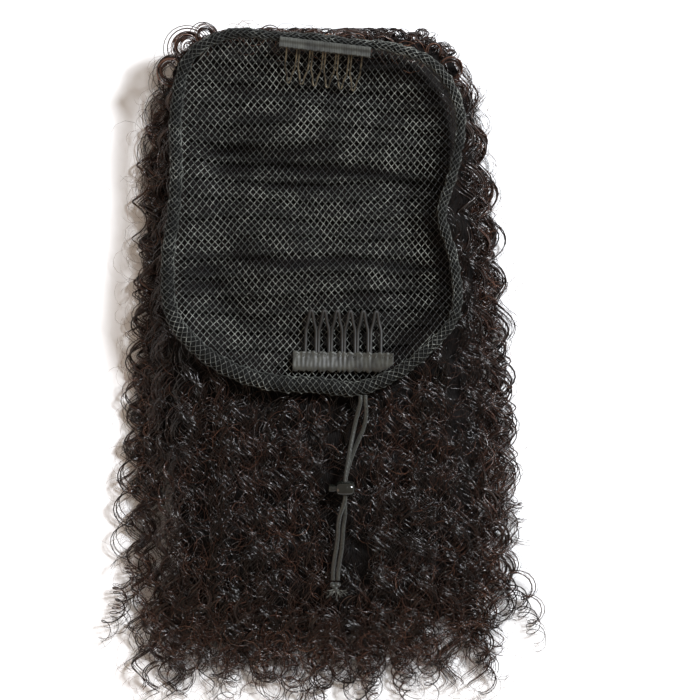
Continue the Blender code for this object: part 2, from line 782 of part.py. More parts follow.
def comb(name, place, tilt_degrees, tooth_length, tip_side, tape_length, tape_behind, tape_ahead):
    """A wire comb and the tape folded over the head of its teeth."""
    fold = WIRE_DIAMETER + 2 * TAPE_CLEARANCE
    lift = COMB_CLEARANCE + TAPE_WALL + fold / 2
    run = [(*on_net(x, y, lift + TOOTH_LIFT * down), 1.0)
           for x, y, down in comb_path(place, tilt_degrees, tooth_length, tip_side)]
    part(name + "_wire", spline_mesh(name + "_wire", [run], WIRE_DIAMETER, WIRE_SIDES), WIRE_FINISH, 60)
    tilt = math.radians(tilt_degrees)
    folded = ((tape_ahead, -1), (-tape_behind, -1), (-tape_behind, 1), (tape_ahead, 1))
    tape = bmesh.new()
    rows = []
    for station in range(TAPE_STATIONS):
        across = (station / (TAPE_STATIONS - 1) - 0.5) * tape_length
        row = []
        for ahead, level in folded:
            reach = ahead * tip_side
            x = place[0] + across * math.cos(tilt) - reach * math.sin(tilt)
            y = place[1] + across * math.sin(tilt) + reach * math.cos(tilt)
            row.append(tape.verts.new(on_net(x, y, lift + level * (fold + TAPE_WALL) / 2)))
        rows.append(row)
    for near, far in zip(rows, rows[1:]):
        for a, b, c, d in zip(near, near[1:], far[1:], far):
            tape.faces.new((a, b, c, d))
    bmesh.ops.recalc_face_normals(tape, faces=tape.faces[:])
    held = part(name + "_tape", mesh_from(tape, name + "_tape"), TAPE_FINISH)
    wall = held.modifiers.new("wall", "SOLIDIFY")
    wall.thickness = TAPE_WALL
    wall.offset = 0.0
    wall.use_even_offset = True


# Each row: name, the tape's middle, tilt in degrees, length of the teeth, the
# side that they point to along Y, the tape's length, and its reach behind and
# ahead of the teeth's heads.
COMBS = (
    # name, middle, tilt, teeth, side, tape, behind, ahead
    ("comb_top", (0.0043, 0.1593), -7.0, 0.0205, -1, 0.0455, 0.0012, 0.0036),
    ("comb_bottom", (0.0130, 0.0025), -1.0, 0.0255, 1, 0.0500, 0.0052, 0.0045),
)
for row in COMBS:
    comb(*row)


# Drawstring

CORD_FINISH = material("elastic_cord", (0.06, 0.06, 0.055), 0.6)
LOCK_FINISH = material("black_plastic", (0.01, 0.01, 0.01), 0.12)


def strand(name, points):
    run = [(*point, 1.0) for point in smooth_curve(points, CORD_POINTS)]
    part(name, spline_mesh(name, [run], CORD_DIAMETER, CORD_SIDES), CORD_FINISH, 60)


strand("drawstring_left", LEFT_STRAND)
strand("drawstring_right", RIGHT_STRAND)


# Cord lock: a rounded barrel along X, bored for its button and crossed by the strands

def pill(name, left, right, depth, height, squareness):
    """A rounded barrel along X: a ball whose middle is filled out towards a cylinder."""
    mesh = bmesh.new()
    bmesh.ops.create_uvsphere(mesh, u_segments=12, v_segments=9, radius=1.0)
    for vert in mesh.verts:
        x, y, z = vert.co
        ring = max(math.hypot(x, y), 1e-9)
        along = math.copysign(abs(z) ** (2 / squareness), z)
        around = ring ** (2 / squareness) / ring
        vert.co = ((left + right) / 2 + along * (right - left) / 2,
                   x * around * depth / 2, y * around * height / 2)
    face_outward(mesh)
    return mesh_from(mesh, name)


def oval_rod(name, left, right, depth, height):
    """An oval cylinder along X from left to right."""
    mesh = bmesh.new()
    bmesh.ops.create_cone(mesh, cap_ends=True, segments=12, radius1=0.5, radius2=0.5, depth=1.0)
    for vert in mesh.verts:
        x, y, z = vert.co
        vert.co = ((left + right) / 2 + z * (right - left), x * depth, y * height)
    face_outward(mesh)
    return mesh_from(mesh, name)


def box(name, low, high):
    mesh = bmesh.new()
    bmesh.ops.create_cube(mesh, size=1.0)
    for vert in mesh.verts:
        for axis in range(3):
            vert.co[axis] = low[axis] if vert.co[axis] < 0 else high[axis]
    return mesh_from(mesh, name)


LOCK_PLACE = (LOCK_X, LOCK_Y, LOCK_Z)
slot_half_x = CORD_DIAMETER / 2 + GAP
slot_half_z = CORD_DIAMETER + 2.5 * GAP
button_right = slot_half_x + BUTTON_WEB
bore_right = button_right + BUTTON_TRAVEL + GAP

lock = part("cord_lock_body", pill("cord_lock_body", -LOCK_WIDTH / 2, LOCK_WIDTH / 2,
                                   LOCK_DEPTH, LOCK_HEIGHT, LOCK_SQUARENESS), LOCK_FINISH)
bore = cutter("button_bore", oval_rod("button_bore", -LOCK_WIDTH, bore_right,
                                      BUTTON_DEPTH + 2 * GAP, BUTTON_HEIGHT + 2 * GAP))
cross = cutter("strand_hole", box("strand_hole", (-slot_half_x, -LOCK_DEPTH, -slot_half_z),
                                  (slot_half_x, LOCK_DEPTH, slot_half_z)))
button = part("cord_lock_button", pill("cord_lock_button", -LOCK_WIDTH / 2 - BUTTON_REACH, button_right,
                                       BUTTON_DEPTH, BUTTON_HEIGHT, BUTTON_SQUARENESS), LOCK_FINISH)
slot = cutter("button_slot", box("button_slot", (-slot_half_x - BUTTON_TRAVEL, -LOCK_DEPTH, -slot_half_z),
                                 (slot_half_x, LOCK_DEPTH, slot_half_z)))
for piece in (lock, bore, cross, button, slot):
    piece.location = LOCK_PLACE
boolean(lock, bore, "DIFFERENCE")
boolean(lock, cross, "DIFFERENCE")
boolean(button, slot, "DIFFERENCE")


# Knot where the two strands end

def knot_mesh():
    mesh = bmesh.new()
    bmesh.ops.create_icosphere(mesh, subdivisions=2, radius=0.5)
    for vert in mesh.verts:
        x, y, z = vert.co
        bulge = 1 + 0.10 * math.sin(6 * math.atan2(z, x) + 9 * y)
        vert.co = (x * KNOT_DIAMETER * bulge, y * KNOT_DIAMETER * 1.1, z * KNOT_DIAMETER * 0.9 * bulge)
    return mesh_from(mesh, "cord_knot")


knot = part("cord_knot", knot_mesh(), CORD_FINISH, 60)
ends = (Vector(LEFT_STRAND[-1]) + Vector(RIGHT_STRAND[-1])) / 2
knot.location = ends - Vector((0, KNOT_DIAMETER * 0.55 + GAP, 0))
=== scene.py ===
"""Drawstring ponytail hairpiece of tight natural curls, seen from the inside of its cap.

Metres, +Z up. The piece lies on its hair with the cap open side up, +Y to the
front of the cap. The sections follow the piece as it is made up: net, hem, wefts,
hair, drawstring, combs, cord lock and knot, and then the studio.
"""
import math

import bmesh
import bpy
import numpy as np
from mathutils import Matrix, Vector


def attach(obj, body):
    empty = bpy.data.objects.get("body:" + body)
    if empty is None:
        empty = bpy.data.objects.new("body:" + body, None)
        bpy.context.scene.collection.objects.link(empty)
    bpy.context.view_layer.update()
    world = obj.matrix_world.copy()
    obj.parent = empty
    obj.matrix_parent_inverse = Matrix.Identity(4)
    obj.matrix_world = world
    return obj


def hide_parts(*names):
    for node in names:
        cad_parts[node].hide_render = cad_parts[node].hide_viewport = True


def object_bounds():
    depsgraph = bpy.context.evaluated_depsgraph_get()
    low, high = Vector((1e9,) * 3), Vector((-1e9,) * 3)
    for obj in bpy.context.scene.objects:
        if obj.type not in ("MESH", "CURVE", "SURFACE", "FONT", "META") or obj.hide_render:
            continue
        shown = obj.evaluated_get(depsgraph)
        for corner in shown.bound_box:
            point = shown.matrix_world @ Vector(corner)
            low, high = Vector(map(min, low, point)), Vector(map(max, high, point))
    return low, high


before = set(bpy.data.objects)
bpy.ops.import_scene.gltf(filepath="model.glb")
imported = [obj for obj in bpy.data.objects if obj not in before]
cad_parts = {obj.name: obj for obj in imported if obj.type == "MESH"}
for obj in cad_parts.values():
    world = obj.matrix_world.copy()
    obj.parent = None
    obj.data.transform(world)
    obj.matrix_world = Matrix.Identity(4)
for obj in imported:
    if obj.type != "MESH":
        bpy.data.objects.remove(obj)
cad_low, cad_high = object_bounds()


# Cap net
#
# A cap of knitted polyester net, cut to a rounded outline and stretched over the
# wefts. The yarn is dull charcoal and each diamond is a little over 3 mm wide.

CAP_WIDTH = 0.152
CAP_LENGTH = 0.183
CAP_CENTRE_X = -0.0005
CAP_CENTRE_Y = 0.0755
RIM_HEIGHT = 0.0385
BOWL_FLOOR = 0.0265
WALL_START = 0.72
HEM_WIDTH = 0.0066
HEM_FLATNESS = 0.78
OUTLINE = (
    # degrees, reach, hem, height
    (0, 0.857, 0.76, 1.00),
    (15, 0.972, 0.76, 1.02),
    (30, 1.124, 0.76, 1.05),
    (45, 1.150, 0.76, 1.07),
    (60, 1.067, 0.78, 1.06),
    (75, 0.984, 0.70, 1.03),
    (90, 0.982, 0.66, 1.01),
    (105, 1.026, 0.68, 1.00),
    (120, 1.159, 0.80, 1.00),
    (135, 1.220, 0.92, 1.00),
    (150, 1.104, 0.96, 0.99),
    (165, 0.987, 0.98, 0.98),
    (180, 0.976, 1.00, 0.97),
    (195, 1.051, 1.06, 0.97),
    (210, 1.135, 1.16, 0.97),
    (225, 1.104, 1.26, 0.95),
    (240, 1.049, 1.32, 0.92),
    (255, 1.000, 1.32, 0.90),
    (270, 0.974, 1.28, 0.89),
    (285, 1.025, 1.16, 0.90),
    (300, 1.049, 1.02, 0.94),
    (315, 1.070, 0.90, 0.98),
    (330, 1.092, 0.80, 1.01),
    (345, 0.968, 0.76, 1.00),
)
NET_FOLDS = (
    # across, along, reach_across, reach_along, rise
    (0.05, 0.50, 0.70, 0.26, 0.30),
    (-0.05, -0.30, 0.75, 0.36, 0.46),
    (-0.55, 0.30, 0.30, 0.10, -0.26),
    (0.45, 0.16, 0.40, 0.09, -0.20),
    (0.04, -0.08, 0.14, 0.10, -0.24),
    (-0.60, -0.62, 0.20, 0.18, -0.34),
    (0.60, -0.45, 0.16, 0.30, -0.28),
)


def outline_value(degrees, column):
    """A column of OUTLINE at any directions, on a smooth closed curve."""
    rows = np.array(OUTLINE)[:, column]
    place = (np.asarray(degrees, float) % 360) / (360 / len(rows))
    row = place.astype(int)
    t = place - row
    a, b, c, d = (rows[(row + step) % len(rows)] for step in (-1, 0, 1, 2))
    return 0.5 * (2 * b + (c - a) * t + (2 * a - 5 * b + 4 * c - d) * t ** 2
                  + (3 * b - a - 3 * c + d) * t ** 3)


def outer_edge(degrees):
    reach = outline_value(degrees, 1)
    turn = np.radians(degrees)
    return np.stack((CAP_WIDTH / 2 * reach * np.cos(turn), CAP_LENGTH / 2 * reach * np.sin(turn)), axis=-1)


def outward(degrees):
    along = outer_edge(np.asarray(degrees) + 1.0) - outer_edge(np.asarray(degrees) - 1.0)
    across = np.stack((along[..., 1], -along[..., 0]), axis=-1)
    return across / np.linalg.norm(across, axis=-1, keepdims=True)


def hem_width(degrees):
    return HEM_WIDTH * outline_value(degrees, 2)


def hem_height(degrees):
    return RIM_HEIGHT * outline_value(degrees, 3)


def from_middle(x, y):
    return np.hypot(x - CAP_CENTRE_X, y - CAP_CENTRE_Y)


def edge_at(degrees, inset):
    """Points of the outline, moved in from its outer edge."""
    inset = np.broadcast_to(inset, np.shape(degrees))
    return outer_edge(degrees) - outward(degrees) * inset[..., None] + (CAP_CENTRE_X, CAP_CENTRE_Y)


def direction(x, y):
    return np.degrees(np.arctan2((y - CAP_CENTRE_Y) / CAP_LENGTH, (x - CAP_CENTRE_X) / CAP_WIDTH)) % 360


def net_share(x, y):
    """How far out places are, from 0 at the cap's middle to 1 where the net meets the hem."""
    degrees = direction(x, y)
    edge = edge_at(degrees, hem_width(degrees))
    return from_middle(x, y) / from_middle(edge[..., 0], edge[..., 1])


def net_height(x, y):
    """The net's height where it lies on the hair and climbs to the hem."""
    depth = RIM_HEIGHT - BOWL_FLOOR
    rise = np.clip((net_share(x, y) - WALL_START) / (1 - WALL_START), 0.0, 1.0) ** 1.3
    across = (x - CAP_CENTRE_X) / (CAP_WIDTH / 2)
    along = (y - CAP_CENTRE_Y) / (CAP_LENGTH / 2)
    low = np.full(np.shape(x), BOWL_FLOOR)
    for fold_x, fold_y, reach_x, reach_y, height in NET_FOLDS:
        low = low + depth * height * np.exp(
            -((across - fold_x) / reach_x) ** 2 - ((along - fold_y) / reach_y) ** 2)
    return low + (hem_height(direction(x, y)) - low) * rise


WEFT_SPACING = 0.0094
WEFT_RIDGE = 0.0005
WEFT_SLANT = 0.05
CREASES = (
    # x, y at its middle, half length, slope, depth
    (-0.0270, 0.1235, 0.0150, -0.10, 0.0016),
    (-0.0230, 0.1360, 0.0250, -0.14, 0.0008),
    (-0.0080, 0.1075, 0.0200, -0.04, 0.0012),
    (0.0110, 0.0975, 0.0520, -0.13, 0.0026),
    (-0.0140, 0.0905, 0.0240, -0.13, 0.0016),
    (-0.0420, 0.1080, 0.0130, -0.04, 0.0026),
    (-0.0400, 0.0995, 0.0130, -0.06, 0.0022),
    (0.0020, 0.0520, 0.0640, -0.04, 0.0022),
    (-0.0580, 0.0475, 0.0100, 0.05, 0.0022),
    (-0.0560, 0.0400, 0.0110, 0.04, 0.0018),
    (0.0250, 0.0355, 0.0300, 0.02, 0.0007),
)
CREASE_WIDTH = 0.0019


def weft_ripple(x, y):
    """The small waves of a sewn line, which isn't quite straight."""
    return 0.0011 * np.sin(x * 61 + y * 90)


def weft_wave(x, y):
    """1 along the sewn line of each weft, and 0 halfway between two."""
    place = (y - CAP_CENTRE_Y) / CAP_LENGTH * 2
    bent = y + WEFT_SLANT * place * (x - CAP_CENTRE_X) + weft_ripple(x, y)
    return 0.5 + 0.5 * np.cos(2 * np.pi * bent / WEFT_SPACING)


def crease_depth(x, y):
    """How far the net sinks into its longer folds, which follow the wefts roughly."""
    depth = np.zeros(np.shape(x))
    for middle_x, middle_y, half, slope, fall in CREASES:
        bend = middle_y + slope * (x - middle_x) + 0.0012 * np.sin((x - middle_x) * 95)
        fade = np.clip(1.25 - np.abs(x - middle_x) / half, 0.0, 1.0)
        depth = np.maximum(depth, fall * fade * np.exp(-((y - bend) / CREASE_WIDTH) ** 2))
    return depth


def ridged_height(x, y):
    inside = np.clip((1 - net_share(x, y)) / 0.12, 0.0, 1.0)
    ridges = WEFT_RIDGE * (weft_wave(x, y) ** 3 - 0.35)
    return net_height(x, y) + inside * (ridges - 0.6 * crease_depth(x, y))


def colour(code):
    """An sRGB hex colour as linear light."""
    parts = [int(code[place:place + 2], 16) / 255 for place in (1, 3, 5)]
    linear = [part / 12.92 if part <= 0.04045 else ((part + 0.055) / 1.055) ** 2.4 for part in parts]
    return (*linear, 1.0)


def new_finish(name, **sockets):
    """A material with its shader, whose plain sockets are set by name."""
    made = bpy.data.materials.new(name)
    made.use_nodes = True
    shader = made.node_tree.nodes["Principled BSDF"]
    for socket, value in sockets.items():
        shader.inputs[socket.replace("_", " ")].default_value = value
    return made, shader


def add_node(material, kind, settings, sockets):
    """A node with its settings, its numbers and its links."""
    node = material.node_tree.nodes.new(kind)
    for name, value in settings.items():
        setattr(node, name, value)
    for name, value in sockets.items():
        if isinstance(value, bpy.types.NodeSocket):
            material.node_tree.links.new(value, node.inputs[name])
        else:
            node.inputs[name].default_value = value
    return node


def ramp_node(material, factor, *stops):
    """A colour ramp with its stops as (place, hex colour)."""
    node = add_node(material, "ShaderNodeValToRGB", {}, {"Fac": factor})
    node.color_ramp.elements[0].position = stops[0][0]
    node.color_ramp.elements[1].position = stops[-1][0]
    for place, _ in stops[1:-1]:
        node.color_ramp.elements.new(place)
    for element, (_, code) in zip(node.color_ramp.elements, stops):
        element.color = colour(code)
    return node


def link(material, source, target):
    material.node_tree.links.new(source, target)


def grained_finish(name, scale, detail, dark, light, relief=None, **sockets):
    """A material in a fine grain of two tones, each as (place, hex colour), with or without relief."""
    made, shader = new_finish(name, **sockets)
    place = add_node(made, "ShaderNodeTexCoord", {}, {})
    noise = add_node(made, "ShaderNodeTexNoise", {}, {
        "Vector": place.outputs["Object"], "Scale": scale, "Detail": detail})
    tone = ramp_node(made, noise.outputs["Fac"], dark, light)
    link(made, tone.outputs["Color"], shader.inputs["Base Color"])
    if relief:
        bump = add_node(made, "ShaderNodeBump", {}, {
            "Height": noise.outputs["Fac"], "Strength": relief[0], "Distance": relief[1]})
        link(made, bump.outputs["Normal"], shader.inputs["Normal"])
    return made


def new_object(name, mesh, finish):
    made = bpy.data.objects.new(name, mesh)
    bpy.context.scene.collection.objects.link(made)
    mesh.materials.clear()
    mesh.materials.append(finish)
    return made


def select_only(*pieces):
    """Selects pieces and nothing else, and makes the first one active."""
    bpy.ops.object.select_all(action="DESELECT")
    for piece in pieces:
        piece.select_set(True)
    bpy.context.view_layer.objects.active = pieces[0]


def apply_modifier(piece, kind, **settings):
    """Adds a modifier, sets it and applies it, as by hand."""
    step = piece.modifiers.new(kind.lower(), kind)
    for name, value in settings.items():
        setattr(step, name, value)
    select_only(piece)
    bpy.ops.object.modifier_apply(modifier=step.name)
    return piece


def mesh_of(name, points, faces):
    mesh = bpy.data.meshes.new(name)
    mesh.from_pydata(np.asarray(points).tolist(), [], np.asarray(faces).tolist())
    mesh.update()
    return mesh


def wall_quads(rows, sides):
    """Four-sided faces between the rows of corners of an open tube."""
    row, side = np.meshgrid(np.arange(rows - 1), np.arange(sides), indexing="ij")
    low, high = row * sides, (row + 1) * sides
    ahead = (side + 1) % sides
    return np.stack((low + side, low + ahead, high + ahead, high + side), axis=-1).reshape(-1, 4)


def closed_tube(name, rings, outward_normals=False):
    """A tube with closed ends from its rows of corners; its normals can be turned outwards."""
    rows, sides = rings.shape[:2]
    quads = wall_quads(rows, sides)
    ends = [list(range(sides))[::-1], [(rows - 1) * sides + side for side in range(sides)]]
    if outward_normals:
        quads = quads[:, [0, 3, 2, 1]]
        ends = [end[::-1] for end in ends]
    mesh = bpy.data.meshes.new(name)
    mesh.from_pydata(rings.reshape(-1, 3).tolist(), [], quads.tolist() + ends)
    mesh.update()
    if outward_normals:
        shell = bmesh.new()
        shell.from_mesh(mesh)
        bmesh.ops.recalc_face_normals(shell, faces=shell.faces[:])
        shell.to_mesh(mesh)
        shell.free()
    return mesh


def diamonds(columns, rows):
    """Corners of a lattice of diamonds, as grid places, and its four-sided cells."""
    centres = [(i, j) for j in range(rows + 1) for i in range(columns + 1) if (i + j) % 2]
    return [((i, j - 1), (i + 1, j), (i, j + 1), (i - 1, j)) for i, j in centres]


# Knitted polyester, melted a little flat: dull charcoal in patches, with painted
# shade that darkens it in its creases and hollows; the yarns catch the light where they cross
net_finish, net_shader = new_finish("knitted_polyester_net", Roughness=0.50, Specular_IOR_Level=0.40)
net_place = add_node(net_finish, "ShaderNodeTexCoord", {}, {})
net_patch = add_node(net_finish, "ShaderNodeTexNoise", {}, {
    "Vector": net_place.outputs["Object"], "Scale": 60.0, "Detail": 3.0, "Roughness": 0.6})
net_fuzz = add_node(net_finish, "ShaderNodeTexNoise", {}, {
    "Vector": net_place.outputs["Object"], "Scale": 620.0, "Detail": 3.0, "Roughness": 0.7})
net_mix = add_node(net_finish, "ShaderNodeMath", {"operation": "MULTIPLY_ADD"}, {
    0: net_fuzz.outputs["Fac"], 1: 1.6, 2: net_patch.outputs["Fac"]})
net_level = add_node(net_finish, "ShaderNodeMath", {"operation": "MULTIPLY"}, {0: net_mix.outputs[0], 1: 0.5})
# Painted shade: a per-point attribute darkens the net's tone in its creases and hollows
net_painted_shade = add_node(net_finish, "ShaderNodeAttribute", {"attribute_name": "painted_shade"}, {})
net_painted_shade_tone = add_node(net_finish, "ShaderNodeMath", {"operation": "MULTIPLY_ADD"}, {
    0: net_painted_shade.outputs["Fac"], 1: -0.34, 2: net_level.outputs[0]})
net_tone = ramp_node(net_finish, net_painted_shade_tone.outputs[0], (0.44, "#090a09"), (0.62, "#383a37"), (0.82, "#8f928c"))
link(net_finish, net_tone.outputs["Color"], net_shader.inputs["Base Color"])
net_bump = add_node(net_finish, "ShaderNodeBump", {}, {
    "Height": net_fuzz.outputs["Fac"], "Strength": 0.5, "Distance": 0.0002})
link(net_finish, net_bump.outputs["Normal"], net_shader.inputs["Normal"])

CELL_WIDTH = 0.0033
CELL_HEIGHT = 0.0038
YARN = 0.00052
YARN_DROP = 0.0004


def cap_lattice():
    """The diamonds inside the hem, with the cut ones drawn in to the net's edge."""
    columns = int(CAP_WIDTH * 1.1 / CELL_WIDTH) * 2
    rows = int(CAP_LENGTH * 1.1 / CELL_HEIGHT) * 2
    cells = np.array(diamonds(columns, rows))
    x = CAP_CENTRE_X + (cells[..., 0] - columns / 2) * CELL_WIDTH / 2
    y = CAP_CENTRE_Y + (cells[..., 1] - rows / 2) * CELL_HEIGHT / 2
    kept = net_share(x.mean(axis=1), y.mean(axis=1)) < 1.0
    cells = cells[kept]
    corners, index = np.unique(cells.reshape(-1, 2), axis=0, return_inverse=True)
    x = CAP_CENTRE_X + (corners[:, 0] - columns / 2) * CELL_WIDTH / 2
    y = CAP_CENTRE_Y + (corners[:, 1] - rows / 2) * CELL_HEIGHT / 2
    pull = np.minimum(1.0, 1.02 / np.maximum(net_share(x, y), 0.01))
    x = CAP_CENTRE_X + (x - CAP_CENTRE_X) * pull
    y = CAP_CENTRE_Y + (y - CAP_CENTRE_Y) * pull
    y = y + 0.0007 * np.sin(x * 95 + 1.3 * np.sin(y * 70)) + 0.0004 * np.sin(x * 260 + y * 170)
    x = x + 0.0006 * np.sin(y * 120 + 1.1 * np.sin(x * 80))
    return np.stack((x, y, ridged_height(x, y) - YARN_DROP), axis=1), index.reshape(-1, 4)


net_points, net_cells = cap_lattice()
cap_net = new_object("net_of_cap", mesh_of("net_of_cap", net_points, net_cells), net_finish)
apply_modifier(cap_net, "WIREFRAME", thickness=YARN, use_even_offset=False, use_boundary=True)
cap_net.data.shade_smooth()
spots = np.array([vertex.co for vertex in cap_net.data.vertices])
# Painted shade for the net: deepest along its creases, and in a groove just inside the hem on the right side
painted_shade = crease_depth(spots[:, 0], spots[:, 1]) / 0.0020
painted_shade += 0.9 * np.exp(-(np.abs(net_share(spots[:, 0], spots[:, 1]) - 0.93) / 0.05) ** 2) * (spots[:, 0] > 0.02)
cap_net.data.attributes.new("painted_shade", "FLOAT", "POINT").data.foreach_set("value", np.clip(painted_shade, 0.0, 1.2))
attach(cap_net, "hairpiece")
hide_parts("cap_net")


# Rolled hem
#
# The net's edge is rolled over a core of the same net and sewn down, so its
# yarns lie closer there. It holds the drawstring, which leaves at the nape.

HEM_STEPS = 176
HEM_SIDES = 6
HEM_GATHER = 0.00035
HEM_YARN = 0.00058
HEM_SHADE = 0.22
hem_turns = np.linspace(0.0, 360.0, 1440, endpoint=False)
hem_line = edge_at(hem_turns, hem_width(hem_turns) / 2)
hem_gaps = np.linalg.norm(np.roll(hem_line, -1, axis=0) - hem_line, axis=1)
hem_along = np.concatenate(([0.0], np.cumsum(hem_gaps)))
hem_length = hem_along[-1]


def hem_points(steps, around, grow):
    """Points on the hem's roll at shares of its length and turns round its section."""
    degrees = np.interp((steps % 1.0) * hem_length, hem_along, np.append(hem_turns, 360.0))
    width = hem_width(degrees) / 2
    ripple = 1 + HEM_GATHER / width * (np.sin(steps * 2 * np.pi * 61 + 2 * np.sin(steps * 41))
                                       + 0.6 * np.sin(steps * 2 * np.pi * 97 + 1.0))
    centre = edge_at(degrees, width)
    out = outward(degrees)
    side = np.cos(around) * (width * ripple + grow)
    up = np.sin(around) * (width * HEM_FLATNESS * ripple + grow)
    return np.stack((centre[..., 0] + out[..., 0] * side, centre[..., 1] + out[..., 1] * side,
                     hem_height(degrees) + up), axis=-1)


def ring_mesh(name, points):
    """A closed tube from rows of sections."""
    rows, sides = points.shape[:2]
    row, side = np.meshgrid(np.arange(rows), np.arange(sides), indexing="ij")
    near, far = row * sides, (row + 1) % rows * sides
    faces = np.stack((near + side, far + side, far + (side + 1) % sides, near + (side + 1) % sides), axis=-1)
    return mesh_of(name, points.reshape(-1, 3), faces.reshape(-1, 4))


core_steps, core_around = np.meshgrid(np.arange(420) / 420, np.arange(14) / 14 * 2 * np.pi, indexing="ij")
# Layers of net folded on each other: matt, and painted nearly black as the shade inside the roll, which shows between
# the yarns
hem_core_shade_finish = grained_finish("shaded_net_core", 900.0, 3.0, (0.35, "#050505"), (0.70, "#121312"),
                                 (0.7, 0.0003), Roughness=0.9, Specular_IOR_Level=0.15)
hem_core = new_object("hem_core", ring_mesh("hem_core", hem_points(core_steps, core_around, -0.0006)),
                      hem_core_shade_finish)
hem_core.data.shade_smooth()

hem_cells = np.array([[(i % (2 * HEM_STEPS), j % (2 * HEM_SIDES)) for i, j in cell]
                      for cell in diamonds(2 * HEM_STEPS - 1, 2 * HEM_SIDES - 1)])
hem_corners, hem_index = np.unique(hem_cells.reshape(-1, 2), axis=0, return_inverse=True)
lean = hem_corners[:, 1] / (2 * HEM_SIDES)
hem_net_points = hem_points(hem_corners[:, 0] / (2 * HEM_STEPS) + 0.002 * np.sin(lean * 2 * np.pi),
                            lean * 2 * np.pi, -0.0002)
hem_net = new_object("hem_net", mesh_of("hem_net", hem_net_points, hem_index.reshape(-1, 4)), net_finish)
apply_modifier(hem_net, "WIREFRAME", thickness=HEM_YARN, use_even_offset=False, use_boundary=True)
hem_net.data.shade_smooth()
# The hem's net is darkened evenly through the same attribute
hem_shades = [HEM_SHADE] * len(hem_net.data.vertices)
hem_net.data.attributes.new("painted_shade", "FLOAT", "POINT").data.foreach_set("value", hem_shades)
for piece in (hem_core, hem_net):
    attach(piece, "hairpiece")
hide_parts("rim_casing")


# Wefts
#
# Hair sewn by machine into narrow tracks, which are stitched across the cap
# under the net from side to side. They show as ridges through the net.

WEFT_HALF_WIDTH = 0.0016
WEFT_HALF_HEIGHT = 0.0006
WEFT_DROP = 0.0024
WEFT_STITCH = 0.0024
WEFT_REACH = 0.95


def tube_frames(path):
    """Unit vectors across a path and above it."""
    ahead = np.gradient(path, axis=0)
    ahead /= np.linalg.norm(ahead, axis=1, keepdims=True)
    across = np.cross(ahead, (0.0, 0.0, 1.0))
    across /= np.linalg.norm(across, axis=1, keepdims=True)
    return across, np.cross(across, ahead)


def tube_mesh(name, path, radii):
    """A tube with closed ends; radii has a row for each point and a column for each side."""
    across, above = tube_frames(path)
    sides = radii.shape[1]
    turn = np.arange(sides) / sides * 2 * np.pi
    points = (path[:, None] + (across[:, None] * np.cos(turn)[None, :, None]
                               + above[:, None] * np.sin(turn)[None, :, None]) * radii[..., None])
    return closed_tube(name, points)


def ribbon_radii(path, half_width, half_height, pitch, sides):
    """An oval section whose stitches pinch it at a pitch along its length."""
    along = np.concatenate(([0.0], np.cumsum(np.linalg.norm(np.diff(path, axis=0), axis=1))))
    turn = np.arange(sides) / sides * 2 * np.pi
    oval = 1 / np.sqrt((np.cos(turn) / half_width) ** 2 + (np.sin(turn) / half_height) ** 2)
    return oval[None, :] * (1 + 0.14 * np.sin(along / pitch * 2 * np.pi))[:, None]


# Black polyester thread over human hair: matt, with a faint brown cast
weft_finish = grained_finish("sewn_hair_track", 1100.0, 3.0, (0.35, "#030302"), (0.72, "#0f0c0a"),
                             (0.6, 0.0003), Roughness=0.8, Specular_IOR_Level=0.15)

weft_tracks = []
for row in range(-9, 10):
    guess = CAP_CENTRE_Y + row * WEFT_SPACING
    x = np.linspace(-CAP_WIDTH * 0.6, CAP_WIDTH * 0.6, 130)
    y = np.full_like(x, guess)
    crest = WEFT_SPACING * round(guess / WEFT_SPACING)
    for _ in range(4):
        place = (y - CAP_CENTRE_Y) / CAP_LENGTH * 2
        y = crest - WEFT_SLANT * place * (x - CAP_CENTRE_X) - weft_ripple(x, y)
    held = net_share(x, y) < WEFT_REACH
    if held.sum() < 30:
        continue
    path = np.stack((x[held], y[held], net_height(x[held], y[held]) - WEFT_DROP), axis=1)
    track = new_object(f"weft_{row}", tube_mesh(f"weft_{row}", path, ribbon_radii(
        path, WEFT_HALF_WIDTH, WEFT_HALF_HEIGHT, WEFT_STITCH, 6)), weft_finish)
    weft_tracks.append(track)
select_only(*weft_tracks)
bpy.ops.object.join()
wefts = weft_tracks[0]
wefts.name = "weft_tracks"
wefts.data.shade_smooth()
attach(wefts, "hairpiece")
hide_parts(*(f"weft_row_{row + 1}" for row in range(6)))


# Hair
#
# Human hair in tight natural curls, about 8 mm across and 20 mm to a turn. The
# curls lie in step, so their crests make rows across the tail, and they open
# into loose ringlets and fine frizz at the edges and the tips.

MASS_WIDTH = 0.182
MASS_LENGTH = 0.312
MASS_TOP = 0.1655
MASS_THICKNESS = 0.031
EDGE_THICKNESS = 0.005
EDGE_ROUNDNESS = 7
NET_CLEARANCE = 0.0048
HEM_CLEARANCE = 0.0052
HAIR_SECTIONS = (
    # along, left, right, thickness
    (0.000, -0.46, 0.40, 0.34),
    (0.008, -0.62, 0.56, 0.66),
    (0.030, -0.76, 0.73, 1.00),
    (0.090, -0.84, 0.85, 1.14),
    (0.165, -0.87, 0.90, 1.20),
    (0.340, -0.90, 0.95, 1.22),
    (0.480, -0.93, 0.97, 1.16),
    (0.560, -0.95, 0.98, 1.02),
    (0.710, -0.98, 1.00, 0.96),
    (0.800, -0.98, 0.98, 0.88),
    (0.880, -0.93, 0.92, 0.74),
    (0.945, -0.84, 0.82, 0.50),
    (0.990, -0.72, 0.68, 0.30),
    (1.000, -0.60, 0.56, 0.22),
)


def section(y, column):
    rows = np.array(HAIR_SECTIONS)
    return np.interp((MASS_TOP - y) / MASS_LENGTH, rows[:, 0], rows[:, column])


